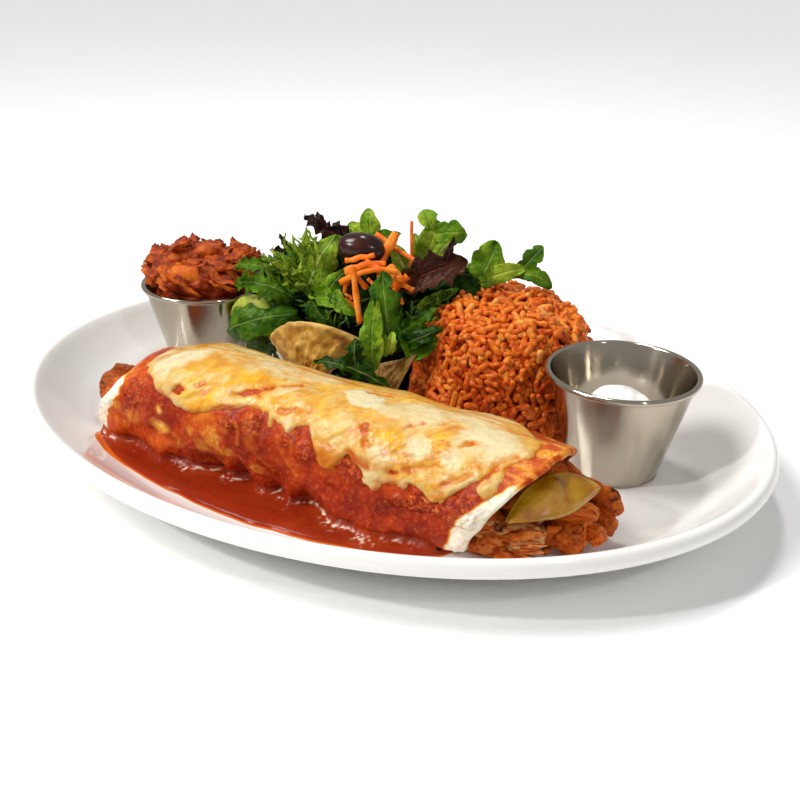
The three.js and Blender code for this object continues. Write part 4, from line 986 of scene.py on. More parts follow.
# each piece is made of torn parts: centre, size, turn, tilt, how pale
chicken = {
    "chickenFront": {"node": "chicken_front", "seed": 101, "parts": [
        ((82, -63, 14), (30, 15, 14), 17, 4, 0.7), ((90, -66, 13), (16, 8, 8), 10, 8, 0.8),
        ((90, -67.5, 16.6), (20, 4.2, 3.6), 12, -16, 0.25),
        ((92.5, -68.6, 14.2), (20, 2.4, 2.2), 8, -6, 0.75),
        ((93, -69, 12.0), (17, 3.4, 2.6), 6, -12, 0.3), ((91.5, -69.4, 10.2), (16, 2.2, 2.0), 10, 4, 0.6),
        ((76, -68, 9), (13, 8, 8), 14, 0, 0.1), ((80, -69.5, 11), (13, 6, 9), 10, 10, 0.3),
        ((92, -70, 7.8), (6, 3.6, 2.8), 40, 0, 0.2), ((86, -70, 9), (14, 7, 6), 4, 10, 0.2)]},
    "chickenMiddle": {"node": "chicken_middle", "seed": 111, "torn": 0.3, "parts": [
        ((103, -51, 12), (20, 16, 12), 24, -4, 0.1), ((104, -48, 19.6), (15, 11, 9), 50, 14, 0.15),
        ((111.5, -50, 13.6), (9, 8, 7), 24, -26, 0.1), ((109, -57.5, 7.0), (4, 3, 2.4), 10, 0, 0.2),
        ((97, -58.5, 7.2), (4.4, 3, 2.6), 50, 0, 0.2),
        ((97, -55, 12), (12, 9, 11), 30, 0, 0.0), ((99, -49, 18), (16, 10, 13), 20, 10, 0.0)]},
    "chickenRight": {"node": "chicken_right", "seed": 121, "dark": 0.22, "parts": [
        ((96, -38, 28), (28, 8, 9), 8, 36, 0.0), ((105, -37, 20.5), (26, 7, 13), 8, 46, 0.0),
        ((111.5, -38.5, 12.5), (16, 6, 8), 14, 62, 0.0), ((89, -41, 34), (14, 9, 8), 6, 20, 0.0),
        ((111, -37.5, 20), (14, 5, 12), 6, 44, 0.0)]},
    "chickenLeft": {"node": "chicken_left", "seed": 131, "dark": 0.42, "torn": 0.5, "parts": [
        ((-101.5, -43, 19.8), (25, 22, 19.5), 20, 20, 0.1), ((-104, -40, 24.5), (17, 11, 9), 50, 24, 0.0),
        ((-110, -47, 14.5), (9, 9, 9), 10, 30, 0.0)]},
}
# the same inside the roll, at its two mouths: centre, size, turn, tilt
fillingChunks = [
    ((77, -64, 15.5), (25, 13, 12), 12, 4), ((79, -51, 15), (27, 15, 13), -8, -4),
    ((81, -38, 17), (22, 13, 14), 14, 6), ((84, -57, 26.5), (24, 14, 12), 20, -6),
    ((88, -43, 29), (22, 15, 13), -4, 8), ((84, -49, 36), (24, 18, 10), 6, -10),
    ((-92, -57, 15), (22, 14, 12), 14, 0), ((-92, -43, 17), (22, 16, 14), -8, 6),
    ((-90, -50, 26), (22, 18, 11), 10, -8), ((-84, -43, 29), (24, 26, 10), 4, 0),
    ((-88, -58, 24), (22, 11, 12), 10, 0), ((-88, -33, 24), (22, 11, 12), -6, 0),
]


def turnedPoints(points, turn, tilt, at):
    a, b = math.radians(turn), math.radians(tilt)
    x = points[..., 0] * math.cos(b) + points[..., 2] * math.sin(b)
    z = points[..., 2] * math.cos(b) - points[..., 0] * math.sin(b)
    y = points[..., 1]
    return np.stack([at[0] + x * math.cos(a) - y * math.sin(a), at[1] + x * math.sin(a) + y * math.cos(a),
        at[2] + z], -1)


# a torn chunk: a rounded block with slanting cuts, fibres along its length and a rough wet surface
def meatChunk(at, size, turn, tilt, seed, rings=80, around=72, pale=0.0, torn=1.0):
    lump, fibre = makeNoise(seed), makeNoise(seed + 1)
    random = np.random.default_rng(seed)
    t = np.linspace(-1, 1, rings + 2)[1:-1, None]
    angle = circle(around)[None, :]
    ring = np.cos(t * np.pi / 2)
    way = np.stack(np.broadcast_arrays(np.sin(t * np.pi / 2), ring * np.cos(angle), ring * np.sin(angle)),
        -1)
    closer = (np.abs(way) ** 2.8).sum(-1) ** (20 / 2.8)
    for _ in range(13):
        cut = unit(random.normal(0, 1, 3))
        closer = closer + (np.clip(way @ cut, 0, None) / random.uniform(0.6, 0.88)) ** 20
    reach = closer ** -0.05
    across = np.array(size) / 2
    px, py, pz = [way[..., k] * reach * across[k] for k in range(3)]
    body = lump(px / 6, py / 4, pz / 4)
    # torn layers stand over one another like flakes
    flake = 2.4 * layered(lump, px / 8 + 9, py / 3.4, pz / 3.4, 2)
    step = np.floor(flake) + smooth(0.3, 0.6, flake - np.floor(flake))
    strand = 1 - 2 * np.abs(fibre(px / 8 + 5, py / 1.5, pz / 1.5))
    fine = 1 - 2 * np.abs(fibre(px / 3, py / 0.9, pz / 0.9 + 2))
    grain = fibre(px / 1.0, py / 0.9, pz / 0.9 + 7)
    split = smooth(0.75, 0.95, strand) * smooth(0.1, 0.5, lump(px / 5, py / 4, pz / 4 + 4))
    push = 0.5 * body + 0.14 * grain + torn * (0.4 * step + 0.24 * strand + 0.22 * fine - 0.8 * split)
    push = push * min(1.0, across[1] / 5)
    scale = reach * (1 + push / np.linalg.norm(across * way, axis=-1))
    points = way * scale[..., None] * across
    points = turnedPoints(points, turn, tilt, at)
    low = coupeZ(points[..., 0], points[..., 1]) + 0.25
    points[..., 2] = np.maximum(points[..., 2], low + 0.12 * (points[..., 2] - low)
        * (points[..., 2] < low))
    shape, faces = ringSolid(points)
    paleness = np.clip(pale * (0.7 + 0.6 * fine) * mixed(smooth(-0.2, 0.7, t), 1.0, pale), 0, 1)
    speck = smooth(0.3, 0.75, layered(lump, px / 4, py / 3.2, pz / 3.2, 3))
    char = speck * smooth(-0.5, 0.3, grain) * smooth(-0.5, 0.3, way[..., 2] + 0 * t)

    def layer(value):
        value = np.broadcast_to(value, reach.shape)
        return np.concatenate([value.ravel(), [value[0].mean(), value[-1].mean()]])
    return shape, faces, {"pale": layer(paleness), "char": layer(char), "gap": layer(split),
        "strand": layer(0.5 + 0.5 * fine)}


def searedChicken():
    # seared and sauced chicken thigh: moist satin surface, brick red from the marinade, paler inside
    material, tree, shader, place, layers = newMaterial("seared chicken",
        {"IOR": 1.42, "Roughness": 0.26, "Specular IOR Level": 0.1, "Subsurface Weight": 0.06,
        "Subsurface Scale": 0.002, "Subsurface Radius": (1.0, 0.4, 0.2)},
        ("pale", "char", "gap", "strand"))
    rub = addNode(tree, "TexNoise", {"Scale": perMm(4), "Detail": 6.0, "Roughness": 0.7, "Vector": place})
    red = addNode(tree, "ValToRGB",
        {"stops": [(0.28, "681808"), (0.42, "a4340c"), (0.54, "c85014"), (0.66, "de701c"),
        (0.8, "f09834")], "Fac": rub})
    fibres = addNode(tree, "ValToRGB", {"stops": [(0.2, "7c260a"), (0.5, "ba4e16"), (0.8, "e68830")],
        "Fac": layers["strand"]})
    blend = addNode(tree, "MixRGB", {"Fac": 0.35, "Color1": red, "Color2": fibres})
    inside = addNode(tree, "ValToRGB", {"stops": [(0.2, "b0501a"), (0.5, "da8034"), (0.8, "f0b878")],
        "Fac": layers["strand"]})
    torn = addNode(tree, "MixRGB", {"Fac": layers["pale"], "Color1": blend, "Color2": inside})
    charAndShadeShare = addNode(tree, "Math", {"operation": "MULTIPLY", 1: 0.85, 0: layers["char"]})
    seared = addNode(tree, "MixRGB", {"Color2": linearColor("33120a"), "Fac": charAndShadeShare, "Color1": torn})
    # painted shade: darkest in the splits between torn fibres
    deep = addNode(tree, "MixRGB", {"Color2": linearColor("2a0d07"), "Fac": layers["gap"],
        "Color1": seared})
    crumb = addNode(tree, "TexNoise", {"Scale": perMm(0.9), "Detail": 4.0, "Vector": place})
    relief = addNode(tree, "Bump", {"Strength": 0.7, "Distance": 0.0006, "Height": crumb})
    fillNode(tree, shader, {"Base Color": deep, "Normal": relief})
    return material


def makeFilling(material):
    # a rough core that fills the roll, set back from both mouths, coloured dark all over as painted shade
    # inside the roll
    degrees = np.linspace(0, 360, 72, endpoint=False)[None, :]
    lump = makeNoise(141)
    left, right = tubeEnds(degrees, -4.0)
    u = np.linspace(0, 1, 46)[:, None]
    x = left + 20 + (right - 26 - left - 20) * u
    shrink = -4.2 - 7 * (bump(u, 0.02) + bump(u - 1, 0.02))
    offset = shrink + 0.9 * lump(x / 6, degrees * mmPerDegree / 6)
    shapes = [(*ringSolid(tubePoint(x, np.broadcast_to(degrees, x.shape), offset)),
        {"pale": 0.0, "char": 0.5, "gap": 0.3, "strand": 0.3})]
    for n, (at, size, turn, tilt) in enumerate(fillingChunks):
        shapes.append(meatChunk(at, size, turn, tilt, 151 + 3 * n, 30, 30))
    points, faces, layers = joinShapes(shapes)
    makePiece("burritoFilling", points, faces, material, ("filling",), layers)


def makeChicken():
    material = searedChicken()
    for name, piece in chicken.items():
        points, faces, layers = joinShapes([meatChunk(at, size, turn, tilt, piece["seed"] + 2 * n,
            *((64, 56) if size[1] > 7 else (34, 24)), pale, piece.get("torn", 1.0))
            for n, (at, size, turn, tilt, pale) in enumerate(piece["parts"])])
        # a piece's dark value lays the same dark colour over the whole piece
        layers["gap"] = np.clip(layers["gap"] + piece.get("dark", 0), 0, 1)
        makePiece(name, points, faces, material, (piece["node"],), layers)
    makeFilling(material)


makeChicken()
print("chicken done")


# Pepper: a strip of green chile, roasted until it is soft and olive-coloured

pepper = {
    "from": (86, -71.5, 22.5), "via": (97, -62, 34.5), "to": (109, -43.5, 27.5),
    "face": (0.45, -0.62, 0.62), "halfWidth": 7.4, "arch": 2.4, "half": 1.4,
}


def bezier(a, b, c, u):
    a, b, c = [np.asarray(p, float) for p in (a, b, c)]
    u = np.asarray(u)[..., None]
    return a * (1 - u) ** 2 + 2 * b * u * (1 - u) + c * u ** 2


def bezierSlope(a, b, c, u):
    a, b, c = [np.asarray(p, float) for p in (a, b, c)]
    u = np.asarray(u)[..., None]
    return 2 * (b - a) * (1 - u) + 2 * (c - b) * u


def roastedPepper():
    # roasted green chile: translucent olive flesh under a thin waxy skin, with a sharp wet gloss
    material, tree, shader, place, layers = newMaterial("roasted green chile",
        {"IOR": 1.42, "Roughness": 0.12, "Specular IOR Level": 0.2, "Coat Weight": 0.6,
        "Coat Roughness": 0.05, "Subsurface Weight": 0.1, "Subsurface Scale": 0.002,
        "Subsurface Radius": (1.0, 0.8, 0.2)}, ("edge",))
    cloud = addNode(tree, "TexNoise", {"Scale": perMm(9), "Detail": 3.0, "Vector": place})
    flesh = addNode(tree, "ValToRGB", {"stops": [(0.3, "9a5e06"), (0.5, "bc8010"), (0.7, "cc9c20")],
        "Fac": cloud})
    skinLine = addNode(tree, "MixRGB", {"Color2": linearColor("b5a45c"), "Fac": layers["edge"],
        "Color1": flesh})
    dents = addNode(tree, "TexNoise", {"Scale": perMm(6.5), "Detail": 2.0, "Vector": place})
    relief = addNode(tree, "Bump", {"Strength": 0.6, "Distance": 0.002, "Height": dents})
    fillNode(tree, shader, {"Base Color": skinLine, "Normal": relief, "Coat Normal": relief})
    return material


def makePepper():
    u = np.linspace(0, 1, 80)[:, None]
    w = np.sin(np.linspace(-np.pi / 2, np.pi / 2, 34))[None, :]
    noise = makeNoise(171)
    a, b, c = pepper["from"], pepper["via"], pepper["to"]
    middle = bezier(a, b, c, u)
    ahead = unit(bezierSlope(a, b, c, u))
    face = unit(np.asarray(pepper["face"], float))
    across = unit(np.cross(ahead, face))
    width = (pepper["halfWidth"] * np.sin(np.pi * (0.015 + 0.97 * u ** 1.12)) ** 0.85
        + 0.25 * noise(u * 6, w * 1.5) + 0.3)
    arch = (pepper["arch"] * (1 - w ** 2) + 0.55 * noise(u * 4 + 3, w * 1.6, 2)
        + 0.9 * smooth(0.75, 1, np.abs(w)))
    arch = arch + 3.4 * bump(u - 0.48, 0.12) * bump(w + 0.3, 0.6)
    half = (pepper["half"] * np.sqrt(np.clip(1 - w ** 6, 0, 1))
        * np.sqrt(np.clip(1 - (2 * u - 1) ** 14, 0, 1)) + 0.12)

    def side(sign):
        return (middle + across * (width * w)[..., None] + face * (arch + sign * half)[..., None])
    points, faces = sheetSolid(side(1), side(-1))
    edge = (smooth(0.84, 0.92, w + 0.05 * noise(u * 9, 4, 1)) + 0.7 * smooth(0.86, 0.94, -w)
        * smooth(0.6, 0.85, u))
    edge = edge * smooth(0.2, 0.5, u) * (0.6 + 0.4 * noise(u * 20, w * 3, 8))
    makePiece("pepperStrip", points, faces, roastedPepper(), ("pepper_strip",),
        {"edge": np.concatenate([edge.ravel(), 0.3 * edge.ravel()])})


makePepper()
print("pepper done")


# Rice: long-grain rice simmered in tomato and chile, packed in a mould and turned out

rice = {
    "x": 39.4, "y": 38.5, "rx": 38, "ry": 39, "topZ": 56.2, "power": 4.0, "lean": (-1.8, 3.5),
    "length": (6.0, 8.4), "thick": (2.6, 3.4), "grains": 1850,
}


def domePoint(shape, t, angle, inset=0.0, rough=None):
    c, s = np.cos(angle), np.sin(angle)
    reach = (np.abs(np.cos(t)) ** shape["power"] + np.abs(np.sin(t)) ** shape["power"]) ** (-1
        / shape["power"])
    wide, high = reach * np.cos(t), reach * np.sin(t)
    push = rough(c * wide, s * wide, high) if rough else 0.0
    dx, dy = shape["lean"]
    tall = shape["topZ"] - floorZ - inset
    return np.stack(np.broadcast_arrays(shape["x"] + dx * high
        + c * ((shape["rx"] - inset) * wide + push), shape["y"] + dy * high
        + s * ((shape["ry"] - inset) * wide + push),
        np.maximum(floorZ, floorZ + tall * high + push * 0.8)), -1)


def domeCore(shape, rows, columns, inset, rough):
    t = np.linspace(0, np.pi / 2, rows)[:-1, None]
    return ringSolid(domePoint(shape, t, circle(columns)[None, :], inset, rough))


riceLumps = makeNoise(31)


def riceRough(c, s, high):
    return 2.2 * riceLumps(c * 3.1 + 5, s * 3.1, high * 3) + 1.1 * riceLumps(c * 7, s * 7 + 3, high * 7)


def redRice():
    # rice grains tinted by tomato: moist satin, a little light goes in, each grain its own shade
    material, tree, shader, place, layers = newMaterial("tomato rice",
        {"IOR": 1.42, "Roughness": 0.3, "Specular IOR Level": 0.18, "Subsurface Weight": 0.15,
        "Subsurface Scale": 0.002, "Subsurface Radius": (1.0, 0.4, 0.15)}, ("tone",))
    grain = addNode(tree, "ValToRGB",
        {"stops": [(0.0, "a8340a"), (0.3, "cf5612"), (0.6, "e8791e"), (0.85, "f49c38"), (1.0, "f9bc60")],
        "Fac": layers["tone"]})
    speck = addNode(tree, "TexNoise", {"Scale": perMm(2.2), "Detail": 4.0, "Vector": place})
    sauce = addNode(tree, "ValToRGB", {"stops": [(0.36, "8c2206"), (0.52, "d25a18"), (0.68, "f8ae50")],
        "Fac": speck})
    color = addNode(tree, "MixRGB", {"Fac": 0.42, "Color1": grain, "Color2": sauce})
    relief = addNode(tree, "Bump", {"Strength": 0.5, "Distance": 0.0006, "Height": speck})
    fillNode(tree, shader, {"Base Color": color, "Normal": relief})
    return material


# many copies of one small body: centres, a frame of three directions each, sizes along them
def scatter(template, faces, centres, frames, sizes):
    count, many = len(centres), len(template)
    local = template[None] * sizes[:, None, :]
    points = np.einsum("nij,nmi->nmj", frames, local) + centres[:, None, :]
    starts = (np.arange(count) * many)[:, None, None]
    return points.reshape(-1, 3), [(group[None] + starts).reshape(-1, group.shape[1]) for group in faces]


def framesAlong(ahead, up):
    ahead = unit(ahead)
    side = unit(np.cross(up, ahead))
    return np.stack([ahead, side, np.cross(ahead, side)], 1)


def grainTemplate(profile, sides, bend=0.0):
    angle = circle(sides)
    rings = np.array([[(x, r * math.cos(a), r * math.sin(a) + bend * x * x) for a in angle]
        for x, r in profile])
    points, faces = ringSolid(rings)
    if volumeOf(points, faces) < 0:
        faces = [group[:, ::-1] for group in faces]
    return points, faces


def surfaceNormal(point, t, angle):
    step = 0.02
    down = point(t + step, angle) - point(t - step, angle)
    around = point(t, angle + step) - point(t, angle - step)
    normal = unit(np.cross(around, down))
    return normal, unit(around)


def makeRice():
    random = np.random.default_rng(5)
    core, coreFaces = domeCore(rice, 44, 110, 1.9, riceRough)
    material = redRice()
    makePiece("riceCore", core, coreFaces, material, ("rice",), {"tone": np.zeros(len(core))})
    # grains spread evenly over the dome's skin by the golden angle, each a little off its place
    count = rice["grains"]

    def point(t, angle):
        return domePoint(rice, t, angle, 0.0, riceRough)
    steps = np.linspace(0, np.pi / 2, 400)
    spots = point(steps, 0 * steps)
    band = np.hypot(*np.diff(spots[:, [0, 2]], axis=0).T) * (spots[1:, 0] - rice["x"] - 1)
    share = np.concatenate([[0], np.cumsum(np.clip(band, 0.4, None))])
    t = np.interp((np.arange(count) + random.random(count)) / count * share[-1], share, steps)
    angle = np.arange(count) * goldenAngle + random.normal(0, 0.03, count)
    normal, along = surfaceNormal(point, np.clip(t, 0.03, 1.54), angle)
    across = np.cross(normal, along)
    n = len(t)
    turn = random.random(n) * np.pi * 2
    lift = random.normal(0, 0.26, n) + (random.random(n) < 0.06) * 0.7
    ahead = along * np.cos(turn)[:, None] + across * np.sin(turn)[:, None]
    ahead = unit(ahead + normal * lift[:, None])
    length = random.uniform(*rice["length"], n) * np.where(random.random(n) < 0.16, 0.55, 1.0)
    thick = random.uniform(*rice["thick"], n)
    centres = point(t, angle) + normal * random.uniform(-0.9, 1.3, n)[:, None]
    centres[:, 2] = np.maximum(centres[:, 2], np.maximum(coupeZ(centres[:, 0], centres[:, 1]), floorZ)
        + 1.1)
    # grains by the cup lie against its wall, not in it
    away = centres[:, :2] - np.array(creamCup)
    far = np.linalg.norm(away, axis=1)
    wall = np.interp(centres[:, 2] - floorZ, [0, 41, 44, 60], [17.5, 29.5, 30.2, 30.2]) + 2.6
    near = (far < wall) & (centres[:, 2] < floorZ + 48)
    centres[near, :2] += away[near] / far[near, None] * (wall - far)[near, None]
    ahead = np.where(near[:, None], np.stack([-away[:, 1], away[:, 0], 0.3 * far], 1), ahead)
    profile = [(-1.0, 0.42), (-0.93, 0.72), (-0.7, 0.95), (-0.1, 1.0), (0.6, 0.97), (0.9, 0.76),
        (1.0, 0.46)]
    template, faces = grainTemplate(profile, 6, 0.12)
    sizes = np.stack([length / 2, thick / 2, thick / 2 * random.uniform(0.78, 0.95, n)], 1)
    points, allFaces = scatter(template, faces, centres, framesAlong(ahead, normal), sizes)
    # grains facing up get a lighter tone: painted light from above, over a random spread
    tone = np.clip(0.42 + 0.2 * random.normal(0, 1, n) + 0.3 * (normal[:, 2] - 0.5), 0, 1)
    makePiece("riceGrains", points, allFaces, material, ("rice",),
        {"tone": np.repeat(tone, len(template))})


makeRice()
print("rice done")


# Beans: pinto beans, partly mashed, heaped over the cup's rim, with torn skins and whole beans

beans = {
    "mash": [(0.1, 1.8), (14.6, 2.6), (16.6, 5.0), (26.2, 39.4), (25.6, 42.4), (26.4, 45.2), (25.6, 50.0),
        (22.0, 53.4), (16.5, 54.6), (8, 53.8), (0.1, 53.2)],
    # across, depth and height from the cup's axis and rim, length, turn, tilt
    "whole": [(5.5, -20.5, 8.8, 19, 24, 6), (-2, 5, 12.4, 15, 20, -8), (-9, -8, 11.6, 12, 30, -12),
        (17, -12, 4.6, 12, 40, -15), (19, 2, 6.2, 12, 80, 20), (-22, 4, 5, 12, 95, -25),
        (-12, 14, 9.6, 12, 30, 15), (9, 16, 8.6, 12, 150, 20), (-18, 17, 4.6, 12, 50, 10)],
    "more": 7, "flaps": 56, "scraps": 60,
}


def stewedBeans():
    # pinto beans stewed with chile: pasty mash and smooth skins, moist with a broken satin gloss
    material, tree, shader, place, layers = newMaterial("stewed pinto beans",
        {"IOR": 1.42, "Roughness": 0.3, "Specular IOR Level": 0.16, "Subsurface Weight": 0.06,
        "Subsurface Scale": 0.002, "Subsurface Radius": (1.0, 0.4, 0.2)}, ("tone",))
    clump = addNode(tree, "TexNoise", {"Scale": perMm(4), "Detail": 5.0, "Roughness": 0.6,
        "Vector": place})
    mash = addNode(tree, "ValToRGB",
        {"stops": [(0.3, "541606"), (0.46, "842c12"), (0.6, "a8441a"), (0.78, "cc6824")], "Fac": clump})
    whole = addNode(tree, "ValToRGB", {"stops": [(0.3, "b04414"), (0.5, "ce6018"), (0.75, "e07e22")],
        "Fac": clump})
    color = addNode(tree, "MixRGB", {"Fac": layers["tone"], "Color1": mash, "Color2": whole})
    fine = addNode(tree, "TexNoise", {"Scale": perMm(1.1), "Detail": 4.0, "Roughness": 0.6,
        "Vector": place})
    relief = addNode(tree, "Bump", {"Strength": 0.6, "Distance": 0.0006, "Height": fine})
    fillNode(tree, shader, {"Base Color": color, "Normal": relief})
    return material


def mashPoint(line, angle):
    rough, ridge = makeNoise(44), makeNoise(45)
    radius, high = line
    x, y = radius * np.cos(angle), radius * np.sin(angle)
    loose = smooth(42.0, 46, high + 0 * angle)
    folds = 1 - 2 * np.abs(ridge(x / 6.5, y / 6.5, high / 6.5))
    push = (loose * (2.4 * rough(x / 6, y / 6, high / 6) + 1.6 * folds + 0.8 * rough(x / 2.1, y / 2.1,
        high / 2.1) + 0.35 * ridge(x / 0.9, y / 0.9, high / 0.9)))
    steep = smooth(10, 26, radius)
    # the heap hangs over at its left and leaves a dark gap inside the rim
    hollow = smooth(-0.3, 0.8, np.cos(angle - math.radians(207))) * bump(high - 42.5, 4.2)
    scale = 1 + (push * steep * 0.7 - 5.0 * hollow * steep) / np.maximum(radius, 1)
    return np.stack([beanCup[0] + x * scale, beanCup[1] + y * scale, floorZ + high
        + push * (1 - 0.5 * steep)], -1)


def makeBeans():
    random = np.random.default_rng(8)
    material = stewedBeans()
    line = smoothLine(beans["mash"], 5)
    fine = smoothLine(beans["mash"][5:], 12)
    line = np.concatenate([line[:25], fine])
    angle = circle(160)[None, :]
    core, coreFaces = ringSolid(mashPoint((line[:, :1], line[:, 1:]), angle))
    makePiece("beanMash", core, coreFaces, material, ("beans",),
        {"tone": np.zeros(len(core))})
    # whole beans: the ones that show, and more drawn over the heap
    rows = [(beanCup[0] + dx, beanCup[1] + dy, floorZ + 43.2 + dz, long, turn, tilt) for dx, dy, dz, long,
        turn, tilt in beans["whole"]]
    for n in range(beans["more"]):
        radius = 25 * math.sqrt(random.random())
        high = np.interp(radius, [0, 16.5, 23, 26.5], [53.4, 53, 51.5, 47])
        spin = random.uniform(0, 2 * math.pi)
        rows.append((beanCup[0] + radius * math.cos(spin), beanCup[1] + radius * math.sin(spin),
            floorZ + high + random.uniform(-1.5, 1.2), random.uniform(8.5, 12), random.uniform(0, 180),
            random.uniform(-40, 40)))
    profile = [(x, (1 - abs(x) ** 2.3) ** 0.5) for x in np.sin(np.linspace(-1.46, 1.46, 13))]
    shapes = []
    dent = makeNoise(46)
    for n, (x, y, z, long, turn, tilt) in enumerate(rows):
        template, faces = grainTemplate(profile, 18, -0.16)
        bumpy = 1 + 0.09 * dent(*(template * 1.8 + n).T)
        wide = long * (0.3 if n < len(beans["whole"]) else 0.28)
        body = template * bumpy[:, None] * (long / 2, wide, wide * 0.88)
        shapes.append((turnedPoints(body, turn, tilt, (x, y, z)), faces,
            {"tone": random.uniform(0.45, 1.0)}))
    heap = ([0, 16.5, 22.6, 26, 27], [52.8, 54, 52.8, 49.2, 45])

    def onHeap(radius, spin):
        high = np.interp(radius, *heap)
        return mashPoint((np.array([[radius]]), np.array([[high]])), np.array([[spin]]))[0, 0]

    # torn flaps of mash with a thin bright edge
    for n in range(beans["flaps"]):
        radius = 27 * math.sqrt(random.uniform(0.02, 1))
        spin = random.uniform(0, 2 * math.pi)
        at = onHeap(radius, spin)
        long, wide = random.uniform(9, 16), random.uniform(5, 9)
        template, faces = grainTemplate([(x, (1 - abs(x) ** 2.6) ** 0.5 + 0.06)
            for x in np.linspace(-1, 1, 13)], 16)
        ragged = 1 + 0.34 * dent(*(template * 2.4 + 5 * n).T) + 0.2 * dent(*(template * 6 + 7 * n).T)
        body = template * ragged[:, None] * (long / 2, wide / 2, random.uniform(1.0, 1.8))
        body[:, 2] += 0.9 * dent(body[:, 0] / 3.2, body[:, 1] / 3.2, n) + 0.3 * dent(body[:, 0],
            body[:, 1], n)
        edge = np.clip(np.abs(template[:, 1]) * 1.1, 0, 1) ** 3
        lean = random.uniform(-35, 35) if radius < 20 else random.uniform(10, 60)
        shapes.append((turnedPoints(body, math.degrees(spin) + random.uniform(50, 130), lean, at), faces,
            {"tone": np.clip(random.uniform(-0.1, 0.35) + 0.8 * edge, 0, 1)}))
    # crumbs of mash
    for n in range(beans["scraps"]):
        radius = 27 * math.sqrt(random.random())
        spin = random.uniform(0, 2 * math.pi)
        at = onHeap(radius, spin)
        size = random.uniform(1.4, 4.2)
        template, faces = grainTemplate([(-1, 0.3), (-0.6, 0.8), (0, 1), (0.5, 0.75), (1, 0.35)], 7)
        rough = 1 + 0.5 * dent(*(template * 1.4 + 3 * n).T)
        body = template * rough[:, None] * (size * 0.8, size * 0.5, size * random.uniform(0.2, 0.5))
        shapes.append((turnedPoints(body, random.uniform(0, 360), random.uniform(-70, 70), at), faces,
            {"tone": random.uniform(0, 0.7)}))
    points, faces, layers = joinShapes(shapes)
    makePiece("wholeBeans", points, faces, material, ("beans",), layers)


makeBeans()
print("beans done")


# Salad: a loose heap of cut lettuce with lobed and frilled edges, some leaves dark red

salad = {"x": -32, "y": 35, "rx": 41, "ry": 38, "topZ": 60, "power": 2.2, "lean": (0, 0)}
towardFront = (0.41, -0.8, 0.43)  # the broad side of most leaves looks front right
leafHalf = 0.3  # half a leaf's thickness


# what may differ: via, face, bulb (over 1 is widest near the tip), bow, cup, ruffle, waves, lobes, notch,
# teeth, frill, rib
def leaf(start, end, width, tone, **more):
    return {"from": start, "to": end, "width": width, "tone": tone, **more}


